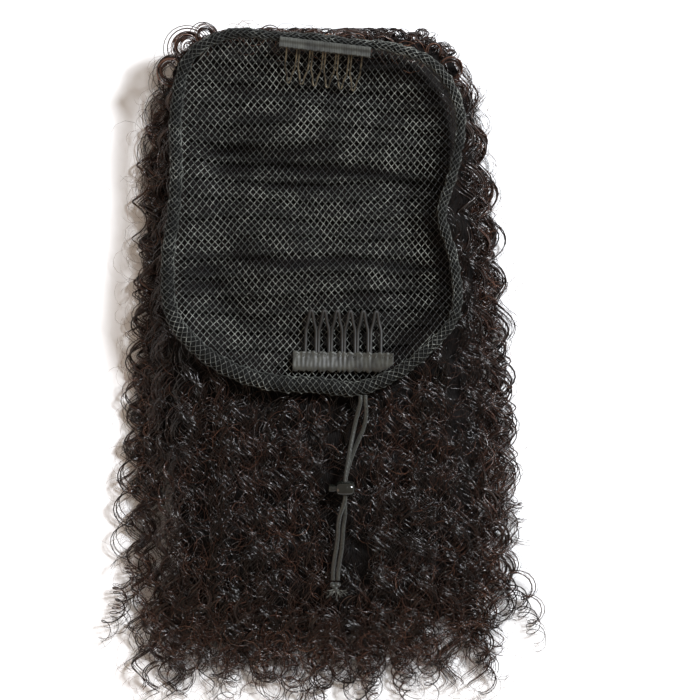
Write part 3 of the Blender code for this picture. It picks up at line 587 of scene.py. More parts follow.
def hair_top(x, y):
    """The height of the hair's body, under the cap too."""
    left = section(y, 1) * MASS_WIDTH / 2
    right = section(y, 2) * MASS_WIDTH / 2
    across = np.clip(np.abs((x - (left + right) / 2) / ((right - left) / 2)), 0.0, 1.0)
    full = MASS_THICKNESS * section(y, 3)
    top = EDGE_THICKNESS + (full - EDGE_THICKNESS) * (1 - across ** EDGE_ROUNDNESS)
    ends = np.clip((MASS_TOP - y) / MASS_LENGTH, 0.0, 1.0)
    top = np.where((ends <= 0.0) | (ends >= 1.0), 0.004, top)
    under_net = net_height(x, y) - NET_CLEARANCE
    under_hem = hem_height(direction(x, y)) - HEM_CLEARANCE
    edge = edge_at(direction(x, y), -0.0025)
    outside = from_middle(x, y) > from_middle(edge[..., 0], edge[..., 1])
    ceiling = np.where(net_share(x, y) < 1.0, np.minimum(under_net, under_hem), under_hem)
    return np.where(outside, top, np.minimum(top, ceiling))


# Natural black hair: a smooth cuticle gives each strand a long pale glint over
# a near-black brown. The tint runs from that up to a tan; the frizz, the fringe at the front
# and the stray hairs on top get the palest tints, painted light for the light that thin hair
# lets through and catches
hair_finish, hair_shader = new_finish("natural_black_hair", Roughness=0.22, Specular_IOR_Level=0.55)
hair_tint = add_node(hair_finish, "ShaderNodeAttribute", {"attribute_name": "tint"}, {})
hair_tone = ramp_node(hair_finish, hair_tint.outputs["Fac"], (0.0, "#060302"), (0.55, "#1a0f0b"),
                      (0.85, "#3c251c"), (1.0, "#7a5745"))
link(hair_finish, hair_tone.outputs["Color"], hair_shader.inputs["Base Color"])

# Hair in the depth of the mass, near-black as the hair is: matt, and painted a little darker than the strands on it
# as the shade deep in the mass
under_finish, under_shader = new_finish("massed_black_hair", Roughness=0.7, Specular_IOR_Level=0.10)
under_place = add_node(under_finish, "ShaderNodeTexCoord", {}, {})
under_map = add_node(under_finish, "ShaderNodeMapping", {}, {
    "Vector": under_place.outputs["Object"], "Scale": (1.0, 0.16, 1.0)})
under_noise = add_node(under_finish, "ShaderNodeTexNoise", {}, {
    "Vector": under_map.outputs["Vector"], "Scale": 1300.0, "Detail": 4.0, "Distortion": 0.6})
under_tone = ramp_node(under_finish, under_noise.outputs["Fac"], (0.40, "#040303"), (0.75, "#110b09"))
link(under_finish, under_tone.outputs["Color"], under_shader.inputs["Base Color"])
under_bump = add_node(under_finish, "ShaderNodeBump", {}, {
    "Height": under_noise.outputs["Fac"], "Strength": 0.9, "Distance": 0.0006})
link(under_finish, under_bump.outputs["Normal"], under_shader.inputs["Normal"])

BODY_DROP = 0.0060
FRONT_START = 0.148
FRONT_HEIGHT = 0.0212
LEFT_SHARES = (0.74, 0.82, 0.92, 0.93, 0.96, 1.02)
RIGHT_SHARES = (0.84, 0.93, 0.95, 0.91, 0.96, 1.02)
CURL_FLATNESS = 0.62
FRIZZ_HAIRS = 1700
STRAY_HAIRS = 1500
WAVE_PITCH = 0.0195
random = np.random.default_rng(7)


def wave_phase(x, y):
    """The turn of a curl at a place, which neighbours share."""
    return 2 * np.pi * (-y / WAVE_PITCH + 0.30 * np.sin(x * 42 + 0.7) + 0.22 * np.sin(x * 19 - y * 25)
                        + 0.12 * np.sin(x * 88 + y * 31))


def body_edge(y, column):
    """The edge of the dense hair on one side, inside its loose ringlets."""
    shares = LEFT_SHARES if column == 1 else RIGHT_SHARES
    return section(y, column) * MASS_WIDTH / 2 * np.interp(y, (-0.13, -0.07, -0.02, 0.03, 0.10, 0.15), shares)


columns, rows = 76, 126
u, v = np.meshgrid(np.linspace(-1, 1, columns), np.linspace(-1, 1, rows), indexing="ij")
body_y = MASS_TOP + 0.0005 - (0.5 - 0.5 * np.sin(v * np.pi / 2)) * MASS_LENGTH * (
    0.972 - 0.045 * u ** 2 + 0.010 * np.sin(u * 9 + 1) + 0.008 * np.sin(u * 23))
body_left = body_edge(body_y, 1)
body_right = body_edge(body_y, 2)
body_x = (body_left + body_right) / 2 + np.sin(u * np.pi / 2) * (body_right - body_left) / 2
body_x = body_x + 0.0016 * np.abs(u) ** 3 * np.sin(body_y * 2 * np.pi / WAVE_PITCH * 1.1 + u * 2)
outside_cap = net_share(body_x, body_y) > 1.05
body_z = hair_top(body_x, body_y) - BODY_DROP * outside_cap
body_z = body_z + 0.0012 * np.sin(wave_phase(body_x, body_y)) * outside_cap
edge_fall = np.clip(np.minimum(1 - np.abs(u), 1 - np.abs(v)) / 0.15, 0.0, 1.0) ** 0.5
body_z = np.maximum(body_z * (0.2 + 0.8 * edge_fall), 0.002)
body_z = np.where((body_y > FRONT_START) & (np.abs(u) < 0.97), np.maximum(body_z, FRONT_HEIGHT), body_z)
top_points = np.stack((body_x, body_y, body_z), axis=-1).reshape(-1, 3)
under_points = top_points * (1, 1, 0) + (0, 0, 0.0008)
i, j = np.meshgrid(np.arange(columns - 1), np.arange(rows - 1), indexing="ij")
cell = np.stack((i * rows + j, (i + 1) * rows + j, (i + 1) * rows + j + 1, i * rows + j + 1), axis=-1)
border = ([k * rows for k in range(columns)] + [(columns - 1) * rows + k for k in range(1, rows)]
          + [k * rows + rows - 1 for k in range(columns - 2, -1, -1)] + [k for k in range(rows - 2, 0, -1)])
count = columns * rows
faces = cell.reshape(-1, 4).tolist()
faces += [[border[(k + 1) % len(border)], border[k], count + k, count + (k + 1) % len(border)]
          for k in range(len(border))]
faces.append([count + k for k in range(len(border))][::-1])
points = np.vstack((top_points, under_points[border]))
body_mesh = bpy.data.meshes.new("hair_body")
body_mesh.from_pydata(points.tolist(), [], faces)
body_mesh.update()
hair_body = new_object("hair_body", body_mesh, under_finish)
hair_body.data.shade_smooth()
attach(hair_body, "hairpiece")
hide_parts("hair")


def curl(start, length, drift, radius, pitch, phase, lean, lift, height, hand, stations=10):
    """One strand that winds down the hair from a start; returns its points and how far along each is."""
    steps = max(int(length / pitch * stations), 6)
    t = np.linspace(0.0, 1.0, steps)
    y = start[1] - length * t
    x = start[0] + drift[0] * t + drift[1] * np.sin(np.pi * t)
    turn = 2 * np.pi * length * t / pitch + phase
    grow = np.minimum(1.0, 0.35 + 3.0 * t)
    z = height(x, y, t) + lift
    points = np.stack((x + hand * radius * grow * np.sin(turn), y + lean * radius * grow * np.cos(turn),
                       z + radius * CURL_FLATNESS * grow * np.cos(turn)), axis=1)
    return points, t


def strands_piece(name, strands, sides, finish):
    """Joins strands, each as (points, radii, tint), into one mesh of thin tubes with closed ends."""
    turn = np.arange(sides) / sides * 2 * np.pi
    ring = np.stack((np.cos(turn), np.sin(turn)), axis=1)
    points, quads, ends, tints = [], [], [], []
    total = 0
    for path, radii, tint in strands:
        path = np.clip(path, (cad_low[0] - 0.0125, -1.0, 0.0008), (cad_high[0] + 0.0125, 1.0, 1.0))
        across, above = tube_frames(path)
        wall = path[:, None] + (across[:, None] * ring[None, :, :1] + above[:, None] * ring[None, :, 1:]) \
            * radii[:, None, None]
        steps = len(path)
        quads.append(wall_quads(steps, sides) + total)
        ends.append(np.arange(sides)[::-1] + total)
        ends.append(np.arange(sides) + total + (steps - 1) * sides)
        points.append(wall.reshape(-1, 3))
        tints.append(np.full(sides * steps, tint))
        total += steps * sides
    points, quads, ends = np.concatenate(points), np.concatenate(quads), np.array(ends)
    mesh = bpy.data.meshes.new(name)
    mesh.vertices.add(len(points))
    mesh.vertices.foreach_set("co", points.astype(np.float32).ravel())
    corners = np.concatenate((quads.ravel(), ends.ravel()))
    mesh.loops.add(len(corners))
    mesh.loops.foreach_set("vertex_index", corners.astype(np.int32))
    sizes = np.concatenate((np.full(len(quads), 4), np.full(len(ends), sides)))
    mesh.polygons.add(len(sizes))
    mesh.polygons.foreach_set("loop_start", np.concatenate(([0], np.cumsum(sizes)[:-1])).astype(np.int32))
    mesh.update(calc_edges=True)
    mesh.validate()
    attribute = mesh.attributes.new("tint", "FLOAT", "POINT")
    attribute.data.foreach_set("value", np.concatenate(tints).astype(np.float32))
    mesh.shade_smooth()
    piece = new_object(name, mesh, finish)
    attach(piece, "hairpiece")
    return piece


def on_hair(x, y, t):
    return hair_top(x, y)


def beside_hair(x, y, t):
    """The height of a ringlet that leaves the hair and comes down on the surface beside it."""
    return np.maximum(hair_top(x, y) * np.clip(1.0 - 0.75 * t, 0.0, 1.0), 0.0050)


def taper(t, width):
    """Radii of a strand that thins towards its tip."""
    return width / 2 * np.clip(1.05 - 0.75 * t ** 3, 0.2, 1.0) * np.minimum(1.0, 0.4 + 12 * t)


CORD_LANE_X = 0.0150
CORD_LANE_HALF = 0.0105


def lane_drop(x, y):
    """1 in the hollow that the hair leaves along the drawstring, and 0 away from it."""
    return np.exp(-((x - CORD_LANE_X) / CORD_LANE_HALF) ** 4) * (y < -0.012) * (y > -0.125)


# Curls that lie on each other over the body of the hair
inner = []
for y0 in np.arange(0.156, -0.126, -0.0145):
    left = body_edge(y0 - 0.02, 1) - 0.002
    right = body_edge(y0 - 0.02, 2) + 0.002
    for x0 in np.arange(left, right, 0.0076):
        x0 = x0 + random.normal(0, 0.0024)
        y1 = y0 + random.normal(0, 0.005)
        if net_share(x0, y1 - 0.012) < (0.9 if y1 < 0.02 else 1.0):
            continue
        length = min(random.uniform(0.036, 0.070), y1 + 0.158)
        radius = random.uniform(0.0034, 0.0052)
        phase = wave_phase(x0, y1) + random.normal(0, 0.25)
        drift = (random.normal(0, 0.005) + x0 * 0.05, random.normal(0, 0.004))
        lean = random.uniform(0.1, 0.9)
        hand = random.choice((-1, 1))
        lane = lane_drop(x0, y1 - length / 2)
        depth = random.uniform(-0.0070, 0.0006)
        shade = random.choice((0.0, 0.1, 0.45))
        for _ in range(7):
            path, t = curl((x0 + random.normal(0, 0.0012), y1 + random.normal(0, 0.003)), length, drift,
                           radius * random.uniform(0.70, 1.25), WAVE_PITCH * random.uniform(0.94, 1.06),
                           phase + random.normal(0, 0.30), lean,
                           depth + random.normal(0, 0.0006) - 0.0045 * lane, on_hair, hand)
            inner.append((path, taper(t, random.uniform(0.00024, 0.00050)),
                          random.uniform(0.0, 0.30) + shade))
for number in range(3):
    strands_piece(f"curls_{number + 1}", inner[number::3], 3, hair_finish)

# Ringlets beside the hair, a few thick strands and some fine ones that follow them
LEFT_PITCH = 0.0190
RIGHT_PITCH = 0.0240
locks, wisps = [], []
for side, pitch, radius in ((-1, LEFT_PITCH, 0.0046), (1, RIGHT_PITCH, 0.0054)):
    column = 1 if side < 0 else 2
    for number in range(34):
        y0 = 0.158 - 0.262 * number / 33 + random.normal(0, 0.004)
        out = random.uniform(-0.006, 0.003)
        x0 = body_edge(y0, column) + side * out
        length = min(random.uniform(0.075, 0.135), y0 + 0.172)
        reach = section(y0 - length * 0.6, column) * MASS_WIDTH / 2 + side * random.uniform(-0.004, 0.0085)
        drift = (reach - x0 + side * random.uniform(-0.004, 0.002), random.normal(0, 0.002) + side * 0.003)
        phase = 2 * np.pi * -y0 / pitch + random.normal(0, 0.6)
        size = radius * random.uniform(0.75, 1.1)
        hand = random.choice((-1, 1))
        lift = random.uniform(-0.004, 0.002)
        lean = random.uniform(0.1, 0.55)
        for strand in range(6):
            thick = strand < 2
            width = random.uniform(0.00060, 0.00120) if thick else random.uniform(0.00022, 0.00042)
            spread = 0.10 if thick else 0.35
            path, t = curl((x0 + random.normal(0, 0.0010), y0 + random.normal(0, 0.0015)),
                           length * random.uniform(0.85, 1.0), drift,
                           size * random.uniform(1 - spread, 1 + spread),
                           pitch * random.uniform(0.985, 1.015), phase + random.normal(0, spread), lean, lift,
                           beside_hair, hand, stations=12 if thick else 9)
            (locks if thick else wisps).append((path, taper(t, width), random.uniform(0.25, 0.80)))
strands_piece("ringlets_beside", locks, 4, hair_finish)
strands_piece("wisps_beside", wisps, 3, hair_finish)

# Tips, wound tighter, so that seen from above they make loops
tips, tip_wisps = [], []
for number in range(104):
    x0 = random.uniform(-0.086, 0.090)
    y0 = -0.100 - 0.026 * (1 - (x0 / 0.095) ** 2) + random.normal(0, 0.008)
    length = min(random.uniform(0.022, 0.052), y0 + 0.181)
    pitch = random.uniform(0.0085, 0.0125)
    size = random.uniform(0.0028, 0.0044)
    drift = (x0 * 0.12 + random.normal(0, 0.011), random.normal(0, 0.005))
    phase = random.uniform(0, 2 * np.pi)
    hand = random.choice((-1, 1))
    lean = random.uniform(0.65, 1.0)
    for strand in range(5):
        thick = strand < 2
        width = random.uniform(0.00045, 0.00085) if thick else random.uniform(0.00020, 0.00036)
        spread = 0.08 if thick else 0.30
        path, t = curl((x0 + random.normal(0, 0.0010), y0 + random.normal(0, 0.0020)),
                       length * random.uniform(0.8, 1.0), drift,
                       size * random.uniform(1 - spread, 1 + spread),
                       pitch * random.uniform(0.97, 1.03), phase + random.normal(0, spread), lean, 0.0,
                       beside_hair, hand, stations=12 if thick else 9)
        (tips if thick else tip_wisps).append((path, taper(t, width), random.uniform(0.25, 0.85)))
strands_piece("ringlets_at_tips", tips, 4, hair_finish)
strands_piece("wisps_at_tips", tip_wisps, 3, hair_finish)


# Fine frizz round the edges, single hairs in broken arcs
def frizz_arc(x, y, z):
    radius = random.uniform(0.0025, 0.0090)
    first = random.uniform(0, 2 * np.pi)
    turn = first + np.linspace(0.0, random.choice((-1, 1)) * random.uniform(1.2, 4.5), 7)
    rise = random.uniform(-0.4, 0.4)
    points = np.stack((x + radius * np.cos(turn), y + radius * np.sin(turn),
                       np.maximum(z + radius * rise * np.sin(turn * 1.3), 0.0010)), axis=1)
    return points, np.linspace(0.0, 1.0, 7)


frizz = []
for _ in range(FRIZZ_HAIRS):
    side = random.choice((-1, 1, 0), p=(0.38, 0.30, 0.32))
    if side:
        y = random.uniform(-0.150, 0.160)
        x = section(y, 1 if side < 0 else 2) * MASS_WIDTH / 2 + side * random.normal(0.002, 0.007)
        x = np.clip(x, cad_low[0] - 0.006, cad_high[0] + 0.006)
    else:
        x = random.uniform(-0.098, 0.100)
        y = max(-0.150 + random.normal(0, 0.014), cad_low[1] - 0.006)
    path, t = frizz_arc(x, y, random.uniform(0.001, 0.016))
    # Pale tints painted on the frizz stand for the light through its thin hairs
    frizz.append((path, taper(t, random.uniform(0.00010, 0.00018)), random.uniform(0.75, 1.0)))
strands_piece("frizz", frizz, 3, hair_finish)

# Single hairs that cross the curls on the top, painted pale for the light they catch
stray = []
for _ in range(STRAY_HAIRS):
    y = random.uniform(-0.140, 0.020)
    x = random.uniform(section(y, 1), section(y, 2)) * MASS_WIDTH / 2 * 0.93
    if net_share(x, y) < 1.16 or abs(x - CORD_LANE_X) < 0.009:
        continue
    path, t = frizz_arc(x, y, hair_top(x, y) - 0.002)
    path[:, 2] = np.minimum(path[:, 2], hair_top(path[:, 0], path[:, 1]) + 0.0008)
    stray.append((path, taper(t, random.uniform(0.00018, 0.00034)), random.uniform(0.60, 0.92)))
strands_piece("stray_hairs", stray, 3, hair_finish)

# The boldest ringlets, each drawn from the mass to its tip
RINGLETS = (
    # x, y, end_x, end_y, half_width, pitch, lean, width
    (0.0640, 0.1520, 0.0945, 0.0300, 0.0046, 0.0245, 0.25, 0.00085),
    (0.0680, 0.1440, 0.0975, 0.0150, 0.0042, 0.0240, 0.30, 0.00110),
    (0.0700, 0.1050, 0.0950, 0.0000, 0.0048, 0.0225, 0.35, 0.00090),
    (0.0860, 0.0400, 0.0985, -0.0700, 0.0050, 0.0215, 0.40, 0.00090),
    (0.0880, -0.0150, 0.1020, -0.0900, 0.0062, 0.0190, 0.55, 0.00080),
    (0.0860, -0.0600, 0.0960, -0.1300, 0.0052, 0.0165, 0.70, 0.00150),
    (0.0790, -0.0850, 0.0900, -0.1450, 0.0048, 0.0140, 0.80, 0.00130),
    (0.0720, -0.1050, 0.0860, -0.1560, 0.0042, 0.0125, 0.85, 0.00110),
    (-0.0700, 0.1480, -0.0850, 0.0500, 0.0046, 0.0210, 0.30, 0.00110),
    (-0.0760, 0.1250, -0.0930, 0.0100, 0.0046, 0.0205, 0.30, 0.00090),
    (-0.0800, 0.0750, -0.0960, -0.0300, 0.0048, 0.0195, 0.35, 0.00120),
    (-0.0860, 0.0300, -0.0985, -0.0650, 0.0044, 0.0190, 0.55, 0.00080),
    (-0.0900, -0.0250, -0.1000, -0.1050, 0.0050, 0.0165, 0.75, 0.00080),
    (-0.0780, -0.0850, -0.0930, -0.1640, 0.0046, 0.0215, 0.15, 0.00120),
    (-0.0700, -0.0980, -0.0850, -0.1700, 0.0040, 0.0150, 0.50, 0.00100),
    (-0.0560, -0.1150, -0.0700, -0.1660, 0.0044, 0.0105, 0.95, 0.00085),
    (-0.0400, -0.1200, -0.0220, -0.1660, 0.0046, 0.0100, 0.95, 0.00090),
    (-0.0130, -0.1240, -0.0300, -0.1600, 0.0042, 0.0095, 1.00, 0.00080),
    (-0.0020, -0.1260, 0.0200, -0.1680, 0.0046, 0.0110, 0.90, 0.00090),
    (0.0340, -0.1220, 0.0220, -0.1640, 0.0042, 0.0100, 1.00, 0.00080),
    (0.0500, -0.1160, 0.0640, -0.1560, 0.0044, 0.0115, 0.90, 0.00090),
)
bold = []
for number, (x0, y0, end_x, end_y, half_width, pitch, lean, width) in enumerate(RINGLETS):
    phase = random.uniform(0, 2 * np.pi)
    hand = 1 if number % 2 else -1
    for strand in range(5):
        thin = 1.0 if strand < 3 else 0.45
        path, t = curl((x0 + random.normal(0, 0.0008), y0 + random.normal(0, 0.0012)), y0 - end_y,
                       (end_x - x0 + random.normal(0, 0.0006), 0.0015 * hand),
                       half_width * random.uniform(0.88, 1.10), pitch * random.uniform(0.992, 1.008),
                       phase + random.normal(0, 0.16), lean, random.uniform(0.0, 0.0012), beside_hair, hand,
                       stations=13)
        bold.append((path, taper(t, width * thin * random.uniform(0.75, 1.1)), random.uniform(0.20, 0.70)))
strands_piece("bold_ringlets", bold, 5, hair_finish)

# Short curls that hang down the front end, under the hem
front = []
for x0 in np.linspace(-0.068, 0.066, 44):
    edge_y = MASS_TOP - 0.0015 - 0.010 * np.clip((abs(x0) - 0.042) / 0.026, 0.0, 1.0) ** 1.5
    phase = random.uniform(0, 2 * np.pi)
    hand = random.choice((-1, 1))
    lean = random.normal(0, 0.007)
    for strand in range(8):
        t = np.linspace(0.0, 1.0, 22)
        turn = 2 * np.pi * t * random.uniform(1.7, 2.3) + phase + random.normal(0, 0.3)
        size = random.uniform(0.0024, 0.0042) * np.minimum(1.0, 0.5 + 2 * t)
        x = x0 + random.normal(0, 0.0010) + lean * t + hand * size * np.sin(turn)
        y = edge_y + 0.0050 * np.sin(np.pi * 0.7 * t) + size * 0.6 * np.cos(turn)
        z = 0.0245 - 0.0205 * t + size * 0.3 * np.cos(turn)
        front.append((np.stack((x, y, z), axis=1), taper(t, random.uniform(0.0003, 0.0007)),
                      random.uniform(0.10, 0.80)))
strands_piece("curls_at_front", front, 3, hair_finish)

# Coils that stand out past the front corners of the cap, and a fringe between
LOOPS = (
    # x, y, radius, first, turn, strands, spread
    (-0.0645, 0.1590, 0.0070, 330, 300, 26, 0.0040),
    (-0.0560, 0.1650, 0.0045, 300, 330, 16, 0.0028),
    (-0.0730, 0.1470, 0.0060, 60, 250, 18, 0.0034),
    (0.0590, 0.1570, 0.0042, 200, -250, 6, 0.0008),
    (0.0670, 0.1480, 0.0055, 150, -230, 10, 0.0012),
    (0.0700, 0.1380, 0.0045, 170, -260, 8, 0.0010),
    (-0.0230, 0.1640, 0.0050, 200, -200, 10, 0.0016),
    (-0.0020, 0.1630, 0.0046, 190, -190, 9, 0.0015),
    (0.0160, 0.1600, 0.0046, 190, -190, 8, 0.0015),
)
coils = []
for x0, y0, radius, first, sweep, count, spread in LOOPS:
    for _ in range(count):
        t = np.linspace(0.0, 1.0, 20)
        angle = np.radians(first + sweep * t) + random.normal(0, 0.12)
        reach = radius + random.normal(0, spread / 2) - 0.0010 * t
        loop = np.stack((x0 + random.normal(0, 0.0006) + reach * np.cos(angle),
                         y0 + random.normal(0, 0.0006) + reach * np.sin(angle),
                         0.0305 + 0.0020 * np.sin(angle * 0.9) + random.normal(0, 0.0010)), axis=1)
        coils.append((loop, taper(t, random.uniform(0.0004, 0.0008)), random.uniform(0.45, 0.90)))
# A fringe of fine arcs between the coils, painted pale for the light through thin hair
for _ in range(160):
    x = random.uniform(-0.045, 0.050)
    edge = edge_at(direction(np.array(x), np.array(0.16)), 0.0)
    path, t = frizz_arc(x, float(edge[1]) - 0.0035 + random.normal(0, 0.0012), random.uniform(0.028, 0.034))
    coils.append((path[:5], taper(t[:5] * 1.6, random.uniform(0.00018, 0.00035)), random.uniform(0.70, 1.0)))
strands_piece("coils_at_front", coils, 5, hair_finish)


# Drawstring
#
# One length of braided elastic, two millimetres thick, that runs inside the hem.
# Both strands leave at the nape, pass through the cord lock and end in a knot.

CORD_WIDTH = 0.0020
LEFT_STRAND = (
    (0.02180, -0.01450, 0.03480),
    (0.02165, -0.01800, 0.03470),
    (0.02080, -0.02150, 0.03400),
    (0.01980, -0.02550, 0.03330),
    (0.01870, -0.03050, 0.03310),
    (0.01770, -0.03550, 0.03350),
    (0.01650, -0.04150, 0.03420),
    (0.01560, -0.04700, 0.03450),
    (0.01470, -0.05250, 0.03500),
    (0.01420, -0.05650, 0.03530),
    (0.01415, -0.06100, 0.03535),
    (0.01410, -0.06550, 0.03510),
    (0.01300, -0.07000, 0.03400),
    (0.01130, -0.07500, 0.03230),
    (0.01060, -0.08000, 0.03000),
    (0.01030, -0.08600, 0.02830),
    (0.00950, -0.09200, 0.02740),
    (0.00850, -0.09800, 0.02640),
    (0.00800, -0.10300, 0.02580),
    (0.00790, -0.10750, 0.02540),
)
RIGHT_STRAND = (
    (0.02420, -0.01450, 0.03480),
    (0.02430, -0.01850, 0.03460),
    (0.02460, -0.02250, 0.03380),
    (0.02420, -0.02700, 0.03290),
    (0.02290, -0.03200, 0.03220),
    (0.02090, -0.03650, 0.03200),
    (0.01880, -0.04150, 0.03180),
    (0.01680, -0.04700, 0.03190),
    (0.01510, -0.05250, 0.03250),
    (0.01430, -0.05650, 0.03300),
    (0.01415, -0.06100, 0.03305),
    (0.01400, -0.06550, 0.03270),
    (0.01400, -0.07000, 0.03140),
    (0.01390, -0.07500, 0.03000),
    (0.01320, -0.08000, 0.02900),
    (0.01280, -0.08600, 0.02810),
    (0.01230, -0.09200, 0.02730),
    (0.01130, -0.09800, 0.02630),
    (0.01060, -0.10300, 0.02575),
    (0.01040, -0.10750, 0.02540),
)


def smooth_curve(points, count):
    """Evenly spaced points on a smooth curve through given ones."""
    known = np.array(points, float)
    known = np.vstack((2 * known[0] - known[1], known, 2 * known[-1] - known[-2]))
    dense = []
    for before, start, end, after in zip(known, known[1:], known[2:], known[3:]):
        for t in np.linspace(0.0, 1.0, 12, endpoint=False):
            dense.append(0.5 * (2 * start + (end - before) * t
                                + (2 * before - 5 * start + 4 * end - after) * t ** 2
                                + (3 * start - before - 3 * end + after) * t ** 3))
    dense.append(known[-2])
    dense = np.array(dense)
    along = np.concatenate(([0.0], np.cumsum(np.linalg.norm(np.diff(dense, axis=0), axis=1))))
    wanted = np.linspace(0.0, along[-1], count)
    return np.stack([np.interp(wanted, along, dense[:, axis]) for axis in range(3)], axis=1)


def braid_radii(length, steps, sides, width):
    """Eight yarns that wind both ways round the cord and stand a little proud."""
    along = np.linspace(0.0, length, steps)[:, None] / (width * 1.1) * 2 * np.pi
    turn = (np.arange(sides) / sides * 2 * np.pi)[None, :]
    relief = np.maximum(np.sin(4 * turn + along), np.sin(4 * turn - along))
    return width / 2 * (0.955 + 0.07 * relief)


# Braided elastic, polyester over rubber: soft satin streaks along the yarns
cord_finish = grained_finish("braided_elastic", 1500.0, 4.0, (0.35, "#0d0e0c"), (0.72, "#30322c"),
                             (0.5, 0.0002), Roughness=0.42, Sheen_Weight=0.2, Anisotropic=0.4)

for name, points in (("drawstring_left", LEFT_STRAND), ("drawstring_right", RIGHT_STRAND)):
    path = smooth_curve(points, 260)
    length = float(np.linalg.norm(np.diff(path, axis=0), axis=1).sum())
    braid = tube_mesh(name, path, braid_radii(length, 260, 16, CORD_WIDTH))
    strand = new_object("elastic_" + name[11:], braid, cord_finish)
    strand.data.shade_smooth()
    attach(strand, "hairpiece")
    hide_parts(name)


# Combs
#
# A wire bent into six teeth, its head folded into a strip of ribbon and sewn to
# the net by hand: plain grosgrain at the front, gathered satin at the nape.

TEETH = 6
TOOTH_PITCH = 0.0065
TOOTH_WIDTH = 0.0052
COMB_WIRE = 0.0009
COMB_STEPS = 460
WIRE_LIFT = 0.0024
WIRE_RISE = 0.0014
RUBBER_GROWTH = 1.9
STITCH_PITCH = 0.0036
TAPE_LIFT = 0.0026
TOOTH_SHAPE = (
    # across, down the tooth
    (-1, 0.0), (-1, 0.20), (-0.98, 0.42), (-0.94, 0.60), (-0.55, 0.76), (-0.34, 0.90), (-0.16, 0.975),
    (0.16, 0.975), (0.34, 0.90), (0.55, 0.76), (0.94, 0.60), (0.98, 0.42), (1, 0.20), (1, 0.0),
)
COMBS = (
    # name, x, y, tilt, teeth, side, tape, behind, ahead
    ("top", 0.0043, 0.1593, -7.0, 0.0205, -1, 0.0455, 0.0012, 0.0036),
    ("bottom", 0.0130, 0.0025, -1.0, 0.0255, 1, 0.0500, 0.0052, 0.0045),
)


def cap_height(x, y):
    """The height that a comb lies at, on the net and up over the hem."""
    degrees = direction(x, y)
    middle = edge_at(degrees, hem_width(degrees) / 2)
    over = from_middle(x, y) / from_middle(middle[..., 0], middle[..., 1])
    return np.where(over < 1.0, net_height(x, y), hem_height(degrees))


def comb_place(seat, across, reach):
    """A place on the net, from the comb's head along and across its tape."""
    x, y, tilt, side = seat
    return (x + across * math.cos(tilt) - reach * side * math.sin(tilt),
            y + across * math.sin(tilt) + reach * side * math.cos(tilt))


# Drawn steel wire with a worn brown lacquer: half dull, with a thin line of light
wire_finish = grained_finish("lacquered_comb_wire", 420.0, 3.0, (0.35, "#2a2621"), (0.70, "#77705f"),
                             Metallic=0.75, Roughness=0.42)

# The nape comb is dipped in black rubber, so that it shows as dark bars
dipped_finish = grained_finish("rubber_dipped_wire", 500.0, 3.0, (0.35, "#090807"), (0.70, "#191714"),
                               Roughness=0.6)


def ribbon_finish(name, dark, light, roughness, ribs):
    """Woven ribbon: fine ribs across it, worn paler in patches."""
    made, shader = new_finish(name, Roughness=roughness, Sheen_Weight=0.15)
    place = add_node(made, "ShaderNodeTexCoord", {}, {})
    patch = add_node(made, "ShaderNodeTexNoise", {}, {
        "Vector": place.outputs["Object"], "Scale": 170.0, "Detail": 4.0, "Roughness": 0.6})
    tone = ramp_node(made, patch.outputs["Fac"], (0.35, dark), (0.72, light))
    link(made, tone.outputs["Color"], shader.inputs["Base Color"])
    weave = add_node(made, "ShaderNodeTexWave", {"bands_direction": "X"}, {
        "Vector": place.outputs["Object"], "Scale": ribs, "Distortion": 2.0, "Detail": 2.0})
    bump = add_node(made, "ShaderNodeBump", {}, {
        "Height": weave.outputs["Fac"], "Strength": 0.45, "Distance": 0.0002})
    link(made, bump.outputs["Normal"], shader.inputs["Normal"])
    return made


# Grosgrain is matt with pale wear on its ribs; satin is darker and has a soft sheen
tape_finishes = {"top": ribbon_finish("grosgrain_ribbon", "#1d1e1c", "#434540", 0.8, 260.0),
                 "bottom": ribbon_finish("gathered_satin_ribbon", "#141512", "#3b3c36", 0.55, 150.0)}
# Sewing thread: paler than the ribbon, so that each stitch shows as a short bar
thread_finish = grained_finish("polyester_sewing_thread", 900.0, 2.0, (0.35, "#1c1d1b"), (0.70, "#6d6f68"),
                               Roughness=0.45)

